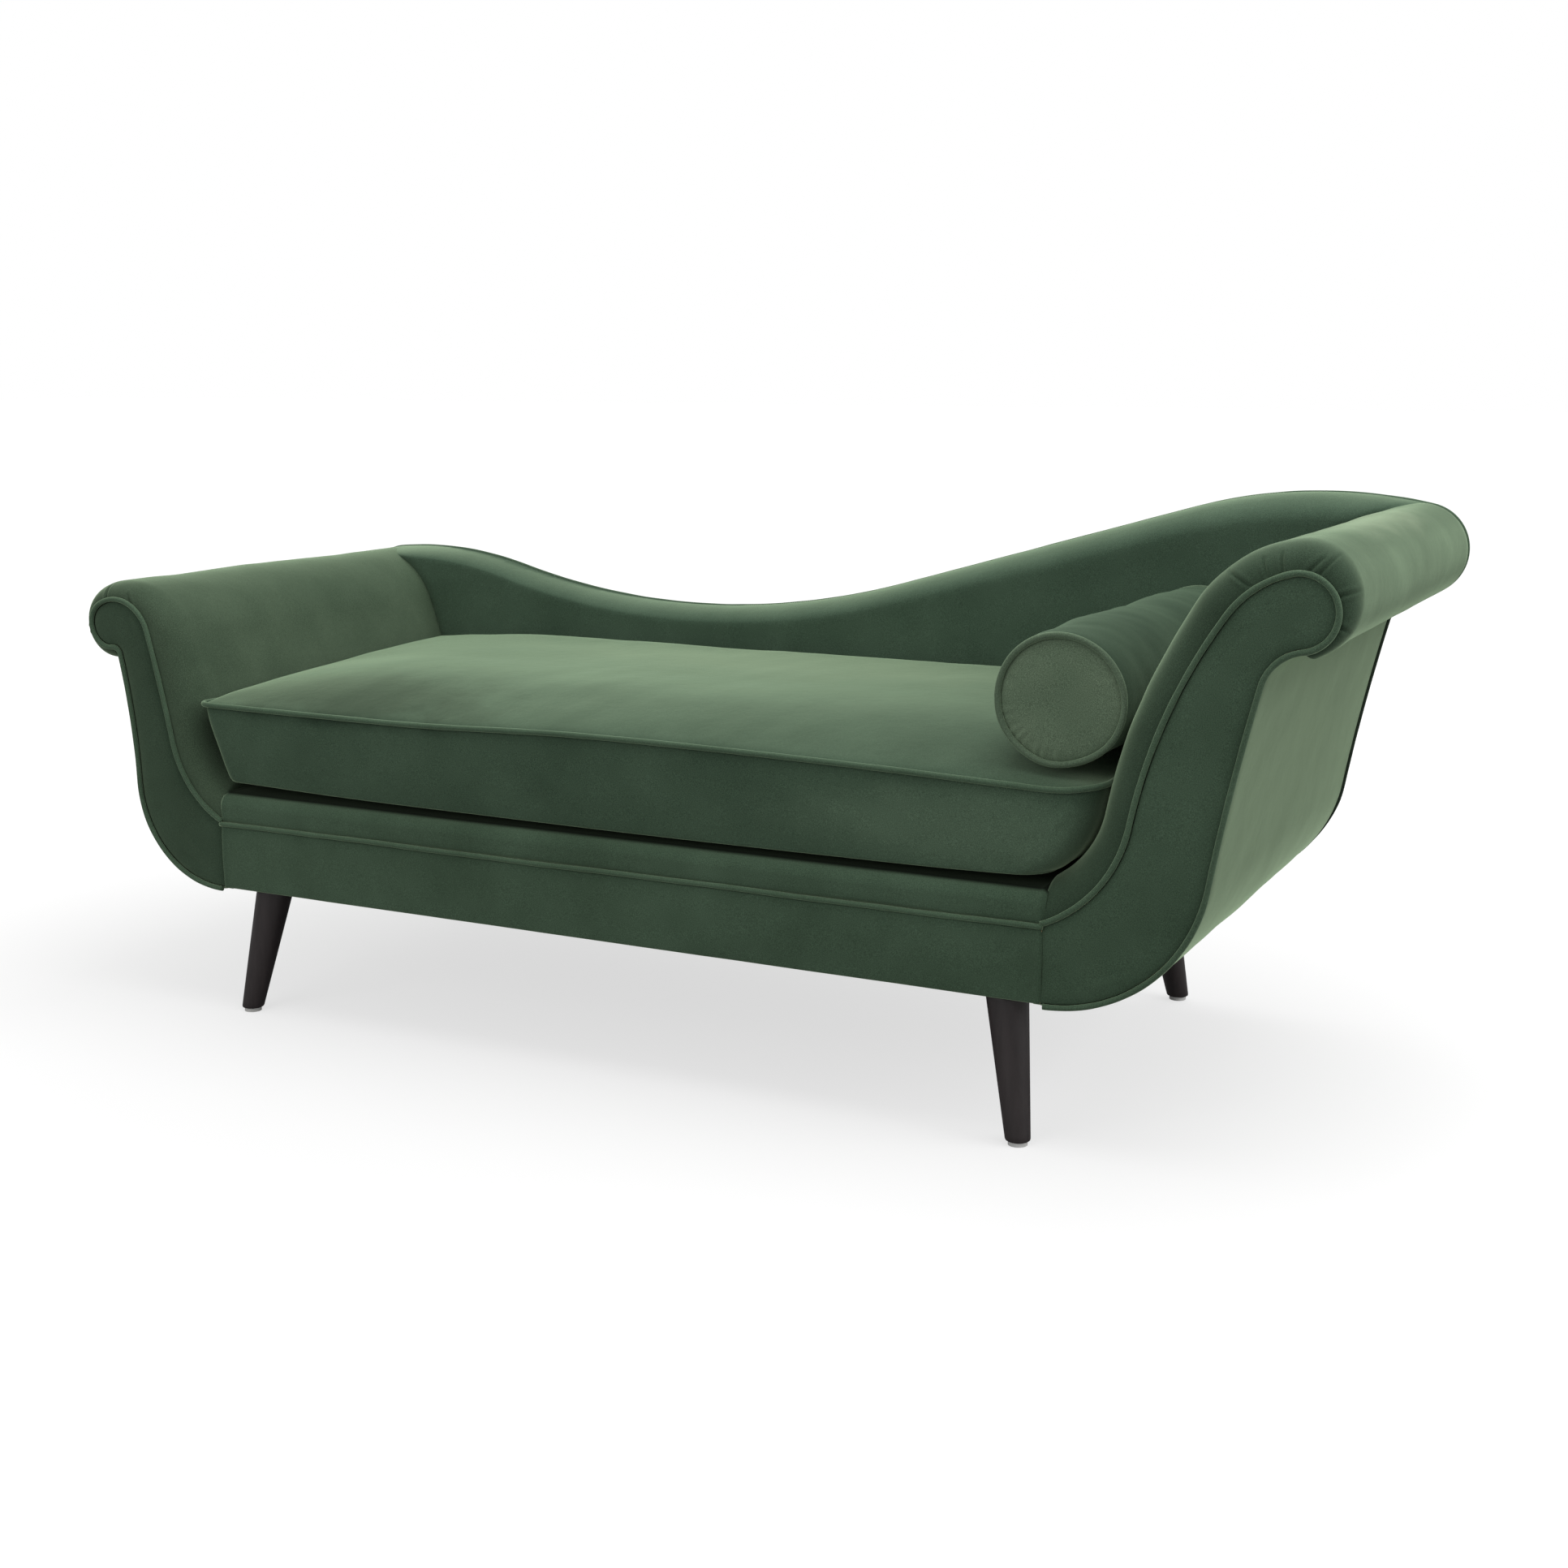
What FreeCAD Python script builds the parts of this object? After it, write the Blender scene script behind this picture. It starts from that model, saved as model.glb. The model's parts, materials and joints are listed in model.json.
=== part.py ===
import FreeCAD, Part
import math
import os

# Chaise longue with a low scrolled foot arm, a high scrolled head arm and a wave-topped back.
# Millimetres. X runs from the foot arm to the head arm, Y from front to back, Z up from the floor.
# The origin is the centre of the whole length and depth, on the floor.

Vector = FreeCAD.Vector

# Seat frame
rail_length = 1290.0
rail_height = 92.0
rail_thickness = 20.0
body_depth = 724.0
brace_width = 24.0
brace_height = 48.0
block_size = 70.0
block_height = 60.0

# Coverings and clearances
velvet = 1.5
rail_pad = 3.0
fit_gap = 0.3
welt_radius = 3.2
facing_thickness = 10.0
side_pad = 4.0
dust_cloth = 0.8
dust_cloth_margin = 5.0

# Legs
glide_radius = 12.5
glide_height = 6.0
glide_stem_radius = 2.5
glide_stem_length = 14.0
leg_height = 183.5
leg_top_radius = 27.7
leg_foot_radius = 16.2
leg_inset = 60.0
leg_depth_inset = 47.0
leg_splay = 30.0
plate_size = 58.0
plate_thickness = 2.5
plate_screw_inset = 8.0
screw_radius = 1.8
screw_head_radius = 3.4
screw_head_height = 1.8
screw_length = 18.0
bolt_radius = 4.0
bolt_in_leg = 30.0
bolt_in_block = 40.0
bore_clearance = 0.1

# Springs and deck
spring_count = 8
spring_end_distance = 95.0
spring_width = 50.0
spring_pitch = 32.0
spring_wire_radius = 1.8
spring_bearing_length = 9.0
clip_thickness = 1.2
clip_width = 14.0
clip_lip = 6.0
felt_thickness = 4.0
felt_setback = 8.0
deck_foam_thickness = 38.0
deck_edge_radius = 18.0

# Arms, as seen from the front: bend radii, and turns in degrees, from the seat outwards
ply_thickness = 15.0
lining_thickness = 3.0
batten_size = 22.0
batten_clearance = 1.0
arm_pad = 46.0
seam_height = 97.0
hull_flat = 4.0
side_panel_gap = 1.5

head_base_angle = 22.5
head_sweep_radius = 181.0
head_sweep_angle = 57.0
head_rise_radius = 664.0
head_rise_angle = 24.0
head_crest_radius = 120.6
head_crest_angle = 40.7
head_scroll_radius = 41.0
head_scroll_angle = 186.0
head_throat_radius = 60.0
head_side_radius = 3000.0
head_hull_radius = 198.0
head_roll_over = 38.0
head_roll_under = 6.0

foot_base_angle = 26.0
foot_sweep_radius = 166.0
foot_sweep_angle = 52.5
foot_rise_radius = 2500.0
foot_rise_angle = 3.8
foot_crest_radius = 59.0
foot_crest_angle = 105.0
foot_scroll_radius = 31.0
foot_scroll_angle = 158.0
foot_throat_radius = 16.0
foot_side_radius = 1000.0
foot_hull_radius = 149.0
foot_roll_over = 28.0
foot_roll_under = 18.0

# Back: its top edge lifts off the foot roll, dips, climbs and rounds over onto the head roll
back_pad = 56.0
wave_lift_angle = 5.5
wave_foot_radius = 710.0
wave_dip_angle = 15.8
wave_climb_angle = 16.1
wave_head_radius = 724.0
wave_fall_angle = 11.1
back_end_angle = 20.0

# Loose seat cushion
cushion_height = 125.0
cushion_crown = 18.0
cushion_crown_run = 60.0
cushion_setback = 10.0
cushion_gap = 8.0
cushion_wrap = 12.0
zip_length = 560.0
zip_height = 24.0
zip_tape = 1.0
slider_length = 14.0
slider_height = 9.0
slider_thickness = 3.0
slider_inset = 6.0
pull_length = 24.0
pull_width = 5.0
pull_thickness = 1.2

# Bolster
bolster_radius = 83.0
bolster_length = 594.0
bolster_back_gap = 6.0
bolster_arm_gap = 7.0

# Levels and planes, all worked out from the sizes above
rail_bottom = glide_height + leg_height + plate_thickness
rail_top = rail_bottom + rail_height
seam_z = rail_bottom + seam_height
wire_z = rail_top + clip_thickness + fit_gap + spring_wire_radius
clip_top = wire_z + spring_wire_radius + fit_gap + clip_thickness
felt_bottom = clip_top + fit_gap
foam_bottom = felt_bottom + felt_thickness
foam_top = foam_bottom + deck_foam_thickness
deck_top = foam_top + velvet
cushion_bottom = deck_top + fit_gap
border_top = cushion_bottom + cushion_height
cushion_top = border_top + cushion_crown

half_rail = rail_length / 2
front = -body_depth / 2
back = body_depth / 2
arm_front = front + facing_thickness
panel_back = arm_front + ply_thickness
back_skin = 2 * welt_radius + fit_gap
board_back = back - back_skin
board_front = board_back - ply_thickness
back_face = board_front - back_pad - velvet
front_rail_face = front + rail_pad
front_rail_inner = front_rail_face + rail_thickness
rear_rail_inner = board_front - rail_thickness
end_rail_inner = half_rail - rail_thickness
welt_offset = welt_radius + fit_gap
soft_gap = velvet + fit_gap
far_away = rail_length * 2


# Outlines. A piece of an outline is two points for a line and three for an arc.

class Bend:
    """A circular stretch of an outline; its angles are seen from its centre."""

    def __init__(self, centre, radius, start, end):
        self.centre = centre
        self.radius = radius
        self.start = start
        self.end = end
        self.turn = 1.0 if end > start else -1.0

    def at(self, angle):
        return polar(self.centre, self.radius, angle)

    def heading(self, angle):
        return angle + self.turn * math.pi / 2

    def offset(self, distance):
        """The same bend, moved to the left of its direction."""
        return Bend(self.centre, self.radius - self.turn * distance, self.start, self.end)

    def piece(self):
        middle = (self.start + self.end) / 2
        return (self.at(self.start), self.at(middle), self.at(self.end))


class Straight:
    """A straight stretch of an outline."""

    def __init__(self, point, length, heading):
        self.point = point
        self.length = length
        self.direction = heading

    def offset(self, distance):
        moved = polar(self.point, distance, self.direction + math.pi / 2)
        return Straight(moved, self.length, self.direction)

    def piece(self):
        return (self.point, polar(self.point, self.length, self.direction))


def polar(centre, radius, angle):
    return (centre[0] + radius * math.cos(angle), centre[1] + radius * math.sin(angle))


def angle_to(centre, point):
    return math.atan2(point[1] - centre[1], point[0] - centre[0])


def bend_on(point, heading, radius, turn):
    """The bend that leaves a point in a heading; a left turn is positive, in radians."""
    side = math.copysign(1.0, turn)
    centre = polar(point, side * radius, heading + math.pi / 2)
    start = heading - side * math.pi / 2
    return Bend(centre, radius, start, start + turn)


def bends_from(point, heading, runs):
    """Tangent bends, one after another, each given as (radius, turn in degrees)."""
    made = []
    for radius, turn in runs:
        bend = bend_on(point, heading, radius, math.radians(turn))
        made.append(bend)
        point = bend.at(bend.end)
        heading = bend.heading(bend.end)
    return made


def bend_between(centre, radius, first, last, left):
    """The arc of a circle from the direction of one point to the direction of another."""
    start = angle_to(centre, first)
    end = angle_to(centre, last)
    if left:
        end = start + (end - start) % (2 * math.pi)
    else:
        end = start - (start - end) % (2 * math.pi)
    return Bend(centre, radius, start, end)


def circles_meet(centre_a, radius_a, centre_b, radius_b):
    """Where two circles cross, on the left of the line from the first centre to the second."""
    dx = centre_b[0] - centre_a[0]
    dz = centre_b[1] - centre_a[1]
    distance = math.hypot(dx, dz)
    along = (radius_a ** 2 - radius_b ** 2 + distance ** 2) / (2 * distance)
    across = math.sqrt(radius_a ** 2 - along ** 2)
    x = centre_a[0] + (along * dx - across * dz) / distance
    z = centre_a[1] + (along * dz + across * dx) / distance
    return (x, z)


def pieces_of(stretches, distance=0.0):
    return [stretch.offset(distance).piece() for stretch in stretches]


def reverse(pieces):
    return [tuple(reversed(piece)) for piece in reversed(pieces)]


def mirror(pieces):
    return [tuple((-x, z) for x, z in piece) for piece in pieces]


def joined(*groups):
    """Runs groups of pieces together, with a line wherever one ends away from the next."""
    result = []
    for group in groups:
        for piece in group:
            if result and math.dist(result[-1][-1], piece[0]) > 1e-6:
                result.append((result[-1][-1], piece[0]))
            result.append(piece)
    return result


def closed(pieces):
    return joined(pieces, [(pieces[-1][-1], pieces[0][0])])


def through(*points):
    return [(a, b) for a, b in zip(points, points[1:])]


# Solids

def wire(pieces, place):
    edges = []
    for piece in pieces:
        points = [place(a, b) for a, b in piece]
        if len(points) == 2:
            edges.append(Part.makeLine(*points))
        else:
            edges.append(Part.Arc(*points).toShape())
    return Part.Wire(edges)


def upright_wire(pieces, y):
    return wire(pieces, lambda x, z: Vector(x, y, z))


def level_wire(pieces, z):
    return wire(pieces, lambda x, y: Vector(x, y, z))


def prism(pieces, y_from, y_to):
    return Part.Face(upright_wire(pieces, y_from)).extrude(Vector(0, y_to - y_from, 0))


def box(x_from, x_to, y_from, y_to, z_from, z_to):
    return Part.makeBox(x_to - x_from, y_to - y_from, z_to - z_from, Vector(x_from, y_from, z_from))


def tube(path, radius):
    """A round cord along a path of tangent lines and arcs."""
    edge = path.Edges[0]
    start = edge.valueAt(edge.FirstParameter)
    along = edge.tangentAt(edge.FirstParameter)
    section = Part.Wire(Part.makeCircle(radius, start, along))
    return path.makePipeShell([section], True, False)


def rod(start, end, radius):
    line = end - start
    return Part.makeCylinder(radius, line.Length, start, line)


def group(solids):
    return Part.makeCompound(list(solids))


# Arms, worked out on the head side and mirrored for the foot side

class Arm:
    def __init__(self, side, base_angle, sweep, rise, crest, scroll, throat, flank, hull, over, under):
        self.side = side
        self.heading = math.radians(base_angle)
        self.base = (half_rail, seam_z)
        runs = [sweep, (rise[0], -rise[1]), (crest[0], -crest[1]), (scroll[0], -scroll[1])]
        self.inner = bends_from(self.base, self.heading, runs)
        self.outer = self.outer_bends(throat, flank, hull)
        scroll_bend = self.inner[-1]
        self.roll_radius = scroll_bend.radius + (over + under) / 2
        self.roll_centre = (scroll_bend.centre[0], scroll_bend.centre[1] + (over - under) / 2)
        self.padded = self.padded_bends(crest[0] + arm_pad)

    def outer_bends(self, throat, flank, hull):
        """From the scroll's underside: the throat, the flank and the hull down to the rail."""
        scroll = self.inner[-1]
        start = scroll.at(scroll.end)
        throat_centre = polar(start, throat, scroll.heading(scroll.end) + math.pi / 2)
        hull_centre = (half_rail + hull_flat, rail_bottom + hull)
        centre = circles_meet(throat_centre, flank - throat, hull_centre, flank + hull)
        flank_bend = bend_between(centre, flank, throat_centre, hull_centre, True)
        flank_start = flank_bend.at(flank_bend.start)
        flank_end = flank_bend.at(flank_bend.end)
        hull_end = (hull_centre[0], rail_bottom)
        return [
            bend_between(throat_centre, throat, start, flank_start, True),
            flank_bend,
            bend_between(hull_centre, hull, flank_end, hull_end, False),
        ]

    def padded_bends(self, crest_radius):
        """The face of the padding: level with the sweep and the rise, then round the roll."""
        sweep = self.inner[0].offset(arm_pad)
        rise = self.inner[1].offset(arm_pad)
        to_rise = rise.radius - crest_radius
        to_roll = crest_radius - self.roll_radius
        centre = circles_meet(rise.centre, to_rise, self.roll_centre, to_roll)
        rise_end = polar(centre, crest_radius, angle_to(rise.centre, centre))
        crest_end = polar(centre, crest_radius, angle_to(centre, self.roll_centre))
        roll_end = polar(self.roll_centre, self.roll_radius, self.inner[-1].end)
        return [
            sweep,
            bend_between(rise.centre, rise.radius, rise.at(rise.start), rise_end, False),
            bend_between(centre, crest_radius, rise_end, crest_end, False),
            bend_between(self.roll_centre, self.roll_radius, crest_end, roll_end, False),
        ]

    def placed(self, pieces):
        return pieces if self.side > 0 else mirror(pieces)

    def prism(self, pieces, y_from, y_to):
        return prism(self.placed(pieces), y_from, y_to)

    def outline(self):
        """The arm's own shape: seat side, scroll, outer side and the end of the rail."""
        rail_end = through((half_rail + hull_flat, rail_bottom), (half_rail, rail_bottom))
        return closed(joined(pieces_of(self.inner), pieces_of(self.outer), rail_end))

    def welt_path(self):
        return joined(pieces_of(self.inner, welt_offset), pieces_of(self.outer, welt_offset))

    def pad_outline(self, extra):
        """The padding between the arm's own shape and its padded face, grown by extra."""
        pad_end = self.padded[-1].at(self.padded[-1].end)
        scroll = self.inner[-1].offset(fit_gap)
        underside = through(pad_end, scroll.at(scroll.end))
        inside = reverse(pieces_of(self.inner, fit_gap))
        return closed(joined(pieces_of(self.padded, extra), underside, inside))

    def lining_outline(self):
        outside = reverse(pieces_of(self.inner, -lining_thickness))
        return closed(joined(pieces_of(self.inner), outside))

    def side_stretches(self):
        """The outer side, started a little below the roll's padding."""
        throat, flank, hull = self.outer
        start = throat.start + side_panel_gap / (throat.radius - side_pad)
        return [Bend(throat.centre, throat.radius, start, throat.end), flank, hull]

    def side_outline(self):
        """The stiffened velvet on the outer side, from the throat down to the rail."""
        outside = pieces_of(self.side_stretches(), fit_gap + side_pad)
        inside = reverse(pieces_of(self.side_stretches(), fit_gap))
        return closed(joined(outside, inside))

    def batten_places(self):
        """Centre and heading of each batten: in the scroll, then behind the lining and the side."""
        sweep, rise, _, scroll = self.inner
        behind_lining = lining_thickness + batten_clearance + batten_size / 2
        behind_side = batten_clearance + batten_size / 2
        places = [(scroll.centre, 0.0)]
        for bend, inset in ((sweep, behind_lining), (rise, behind_lining), (self.outer[2], behind_side)):
            middle = (bend.start + bend.end) / 2
            places.append((bend.offset(-inset).at(middle), bend.heading(middle)))
        return places

    def battens(self):
        """Bars between the front and rear panels."""
        bars = []
        for centre, heading in self.batten_places():
            reach = batten_size / math.sqrt(2)
            points = [polar(centre, reach, heading + (k + 0.5) * math.pi / 2) for k in range(4)]
            bars.append(self.prism(closed(through(*points)), panel_back, board_front))
        return group(bars)

    def split_padded(self, heading, extra):
        """The padded face, cut in two where it runs in a given heading."""
        before = []
        after = []
        for bend in self.padded:
            bend = bend.offset(extra)
            cut = heading + math.pi / 2
            if bend.turn < 0 and bend.start > cut > bend.end:
                before.append(Bend(bend.centre, bend.radius, bend.start, cut).piece())
                after.append(Bend(bend.centre, bend.radius, cut, bend.end).piece())
            elif after:
                after.append(bend.piece())
            else:
                before.append(bend.piece())
        return before, after

    def outboard(self, gap):
        """All that lies past the padded face and its start, for trimming what fits between the arms."""
        before, _ = self.split_padded(math.radians(back_end_angle), gap)
        start = before[0][0]
        top = before[-1][-1]
        low = polar(self.base, -gap, self.heading)
        closing = through(
            top,
            (top[0], far_away),
            (far_away, far_away),
            (far_away, 0.0),
            (low[0], 0.0),
            low,
            polar(start, -gap, self.heading),
            start,
        )
        return self.prism(joined(before, closing), front - far_away, back + far_away)

    def face_x(self, z, gap):
        """How far out the padded face lies at a height within its sweep and its rise."""
        sweep = self.padded[0].offset(gap)
        rise = self.padded[1].offset(gap)
        bend = sweep if z < sweep.at(sweep.end)[1] else rise
        return bend.centre[0] + bend.turn * math.sqrt(bend.radius ** 2 - (z - bend.centre[1]) ** 2)

    def reach(self):
        return self.roll_centre[0] + self.roll_radius + velvet


head = Arm(
    1,
    head_base_angle,
    (head_sweep_radius, head_sweep_angle),
    (head_rise_radius, head_rise_angle),
    (head_crest_radius, head_crest_angle),
    (head_scroll_radius, head_scroll_angle),
    head_throat_radius,
    head_side_radius,
    head_hull_radius,
    head_roll_over,
    head_roll_under,
)
foot = Arm(
    -1,
    foot_base_angle,
    (foot_sweep_radius, foot_sweep_angle),
    (foot_rise_radius, foot_rise_angle),
    (foot_crest_radius, foot_crest_angle),
    (foot_scroll_radius, foot_scroll_angle),
    foot_throat_radius,
    foot_side_radius,
    foot_hull_radius,
    foot_roll_over,
    foot_roll_under,
)
arms = {"head": head, "foot": foot}


# The back's top edge

def bend_step(radius, heading, turn):
    """How far a bend carries its end from its start."""
    bend = bend_on((0.0, 0.0), heading, radius, turn)
    return bend.at(bend.end)


def wave_stretches():
    """From the top of the foot roll to the head roll; the dip and the climb are sized to meet both."""
    lift = math.radians(wave_lift_angle)
    dip = math.radians(wave_dip_angle)
    climb = math.radians(wave_climb_angle)
    fall = math.radians(wave_fall_angle)
    foot_x, foot_z = foot.split_padded(-lift, velvet)[1][0][0]
    head_x, head_z = head.split_padded(-fall, velvet)[1][0][0]
    first = bend_step(wave_foot_radius, lift, -lift - dip)
    last = bend_step(wave_head_radius, climb, -climb - fall)
    unit_dip = bend_step(1.0, -dip, dip + climb)
    unit_climb = (math.cos(climb), math.sin(climb))
    left_x = head_x + foot_x - first[0] - last[0]
    left_z = head_z - foot_z - first[1] - last[1]
    spread = unit_dip[0] * unit_climb[1] - unit_dip[1] * unit_climb[0]
    dip_radius = (left_x * unit_climb[1] - left_z * unit_climb[0]) / spread
    climb_length = (unit_dip[0] * left_z - unit_dip[1] * left_x) / spread
    start = bend_on((-foot_x, foot_z), lift, wave_foot_radius, -lift - dip)
    valley = bend_on(start.at(start.end), -dip, dip_radius, dip + climb)
    slope = Straight(valley.at(valley.end), climb_length, climb)
    crest = bend_on(slope.piece()[1], climb, wave_head_radius, -climb - fall)
    return [start, valley, slope, crest]


wave = wave_stretches()


def back_region(extra, z_low, y_from, y_to):
    """What lies under the wave, grown by extra, and between the padded arms."""
    top = pieces_of(wave, extra)
    x_end = top[-1][-1][0]
    x_start = top[0][0][0]
    whole = prism(closed(joined(top, through((x_end, z_low), (x_start, z_low)))), y_from, y_to)
    return whole.cut(head.outboard(soft_gap)).cut(foot.outboard(soft_gap))


def rear_edge(extra):
    """The edge seen from behind: round the foot roll, along the wave and round the head roll."""
    _, foot_part = foot.split_padded(-math.radians(wave_lift_angle), velvet + extra)
    _, head_part = head.split_padded(-math.radians(wave_fall_angle), velvet + extra)
    return joined(reverse(mirror(foot_part)), pieces_of(wave, extra), head_part)


def rear_outline():
    """The outside back: within the welt along the top, out to the side panels below the rolls."""
    side_skin = fit_gap + side_pad
    head_side = pieces_of(head.outer, side_skin)
    foot_side = reverse(mirror(pieces_of(foot.outer, side_skin)))
    bottom = through((half_rail, rail_bottom), (-half_rail, rail_bottom))
    return closed(joined(rear_edge(-back_skin), head_side, bottom, foot_side))


# Frame

def corners():
    """The four corners, as the signs of X and Y."""
    return [(x, y) for y in (-1, 1) for x in (-1, 1)]


def leg_top(sign_x, sign_y):
    x = sign_x * (half_rail - leg_inset)
    y = sign_y * (back - leg_depth_inset)
    return Vector(x, y, glide_height + leg_height)


def leg_foot(sign_x, sign_y):
    return leg_top(sign_x, sign_y) + Vector(sign_x * leg_splay, sign_y * leg_splay, -leg_height)


def leg_direction(sign_x, sign_y):
    return (leg_top(sign_x, sign_y) - leg_foot(sign_x, sign_y)).normalize()


def bolt(sign_x, sign_y, radius):
    top = leg_top(sign_x, sign_y)
    direction = leg_direction(sign_x, sign_y)
    return rod(top - direction * bolt_in_leg, top + direction * bolt_in_block, radius)


def screw_places(sign_x, sign_y):
    top = leg_top(sign_x, sign_y)
    reach = plate_size / 2 - plate_screw_inset
    return [top + Vector(reach * x, reach * y, 0) for x, y in corners()]


def screw(place, clearance):
    """A countersunk screw with its head flush in the underside of the plate."""
    up = Vector(0, 0, 1)
    head_cone = Part.makeCone(
        screw_head_radius + clearance, screw_radius + clearance, screw_head_height, place, up)
    shank = Part.makeCylinder(screw_radius + clearance, screw_length + clearance, place, up)
    return head_cone.fuse(shank).removeSplitter()


screw_holes = group([screw(place, bore_clearance) for c in corners() for place in screw_places(*c)])
bolt_holes = group([bolt(*c, bolt_radius + bore_clearance) for c in corners()])


def leg(sign_x, sign_y):
    up = Vector(0, 0, 1)
    top = leg_top(sign_x, sign_y)
    foot_centre = leg_foot(sign_x, sign_y)
    rings = [
        Part.Wire(Part.makeCircle(leg_foot_radius, foot_centre, up)),
        Part.Wire(Part.makeCircle(leg_top_radius, top, up)),
    ]
    stem_radius = glide_stem_radius + bore_clearance
    stem_hole = Part.makeCylinder(stem_radius, glide_stem_length + bore_clearance, foot_centre, up)
    return Part.makeLoft(rings, True, True).cut(bolt_holes).cut(stem_hole)


def glide(sign_x, sign_y):
    up = Vector(0, 0, 1)
    foot_centre = leg_foot(sign_x, sign_y)
    disc = Part.makeCylinder(glide_radius, glide_height, foot_centre - up * glide_height, up)
    stem = Part.makeCylinder(glide_stem_radius, glide_stem_length, foot_centre, up)
    return disc.fuse(stem).removeSplitter()


def plate(sign_x, sign_y):
    top = leg_top(sign_x, sign_y)
    half = plate_size / 2
    blank = box(top.x - half, top.x + half, top.y - half, top.y + half, top.z, rail_bottom)
    return blank.cut(screw_holes).cut(bolt_holes)


def block(sign_x, sign_y):
    y_face = front_rail_inner if sign_y < 0 else rear_rail_inner
    x_from, x_to = sorted((sign_x * end_rail_inner, sign_x * (end_rail_inner - block_size)))
    y_from, y_to = sorted((y_face, y_face - sign_y * block_size))
    blank = box(x_from, x_to, y_from, y_to, rail_bottom, rail_bottom + block_height)
    return blank.cut(screw_holes).cut(bolt_holes)


def long_rail(y_from):
    blank = box(-half_rail, half_rail, y_from, y_from + rail_thickness, rail_bottom, rail_top)
    return blank.cut(screw_holes)


def end_rail(side):
    x_from, x_to = sorted((side * end_rail_inner, side * half_rail))
    return box(x_from, x_to, front_rail_inner, rear_rail_inner, rail_bottom, rail_top)


def dust_cover():
    x_end = half_rail - dust_cloth_margin
    y_start = front_rail_face + dust_cloth_margin
    sheet = box(-x_end, x_end, y_start, board_front, rail_bottom - dust_cloth, rail_bottom)
    half = plate_size / 2 + fit_gap
    for corner in corners():
        top = leg_top(*corner)
        window = box(top.x - half, top.x + half, top.y - half, top.y + half, 0.0, rail_top)
        sheet = sheet.cut(window)
    return sheet


# Springs and deck

spring_front = front_rail_face + spring_bearing_length
spring_back = board_front - spring_bearing_length
loop_count = 2 * round((spring_back - spring_front) / spring_pitch / 2)
loop_radius = (spring_back - spring_front) / loop_count / 2
bar_half = spring_width / 2 - loop_radius


def spring_centres():
    first = -half_rail + spring_end_distance
    step = -2 * first / (spring_count - 1)
    return [first + step * k for k in range(spring_count)]


def spring(x):
    """A flat zigzag of wire: straight bars joined by half circles at alternate sides."""
    pieces = through((x - bar_half, spring_front), (x + bar_half, spring_front))
    side = 1
    y = spring_front
    for _ in range(loop_count):
        centre = (x + side * bar_half, y + loop_radius)
        bend = Bend(centre, loop_radius, -math.pi / 2, side * math.pi - math.pi / 2)
        pieces = joined(pieces, [bend.piece()])
        y += 2 * loop_radius
        side = -side
    pieces = joined(pieces, through((x - bar_half, spring_back), (x + bar_half, spring_back)))
    return tube(level_wire(pieces, wire_z), spring_wire_radius)


def clip(x, y, inward):
    """A strap folded over the spring's end bar, open towards the seat."""
    heel = y - inward * (spring_wire_radius + fit_gap)
    heel_outer = heel - inward * clip_thickness
    lip = y + inward * clip_lip
    x_from = x - clip_width / 2
    x_to = x + clip_width / 2
    outer = box(x_from, x_to, *sorted((heel_outer, lip)), rail_top, clip_top)
    z_from = rail_top + clip_thickness
    z_to = clip_top - clip_thickness
    inner = box(x_from, x_to, *sorted((heel, lip)), z_from, z_to)
    return outer.cut(inner)


def deck_slab(inset, z_low, y_back):
    """The deck's cross-section with its rounded front edge, run along the seat."""
    y = front + inset
    z = deck_top - inset
    radius = deck_edge_radius - inset
    corner = Bend((y + radius, z - radius), radius, math.pi, math.pi / 2)
    profile = closed(joined(through((y, z_low), (y, z - radius)), [corner.piece()],
                            through((y_back, z), (y_back, z_low))))
    section = Part.Face(wire(profile, lambda a, b: Vector(-half_rail, a, b)))
    slab = section.extrude(Vector(rail_length, 0, 0))
    return slab.cut(head.outboard(soft_gap)).cut(foot.outboard(soft_gap))


def deck_cover():
    skin_low = seam_z + welt_offset
    y_back = board_front - fit_gap
    return deck_slab(0.0, skin_low, y_back).cut(deck_slab(velvet, rail_bottom, back))


# Loose cushion

cushion_front = front + cushion_setback
cushion_back = back_face - cushion_gap


def cushion_ends(inset):
    gap = velvet + cushion_gap + inset
    return -foot.face_x(border_top, gap), head.face_x(border_top, gap)


def cushion_body(inset):
    """A block with ends that follow the arms and a crown that rises from all four edges."""
    y_from = cushion_front + inset
    y_to = cushion_back - inset
    gap = velvet + cushion_gap + inset
    block_part = box(-far_away, far_away, y_from, y_to, cushion_bottom + inset, border_top)
    block_part = block_part.cut(head.outboard(gap)).cut(foot.outboard(gap))
    x_from, x_to = cushion_ends(inset)
    rings = []
    for shrink, z in ((0.0, border_top), (cushion_crown_run, cushion_top - inset)):
        x_a = x_from + shrink
        x_b = x_to - shrink
        y_a = y_from + shrink
        y_b = y_to - shrink
        corners_at = [(x_a, y_a), (x_b, y_a), (x_b, y_b), (x_a, y_b), (x_a, y_a)]
        rings.append(level_wire(through(*corners_at), z))
    return block_part.fuse(Part.makeLoft(rings, True, True)).removeSplitter()


def cushion_welt():
    x_from, x_to = cushion_ends(0.0)
    turns = []
    places = [(x_to, cushion_front), (x_to, cushion_back), (x_from, cushion_back), (x_from, cushion_front)]
    for k, place in enumerate(places):
        start = (k - 1) * math.pi / 2
        turns.append(Bend(place, welt_offset, start, start + math.pi / 2).piece())
    return tube(level_wire(closed(joined(turns)), border_top), welt_radius)


zip_z = (cushion_bottom + border_top) / 2
zip_start = sum(cushion_ends(0.0)) / 2 - zip_length / 2


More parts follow.
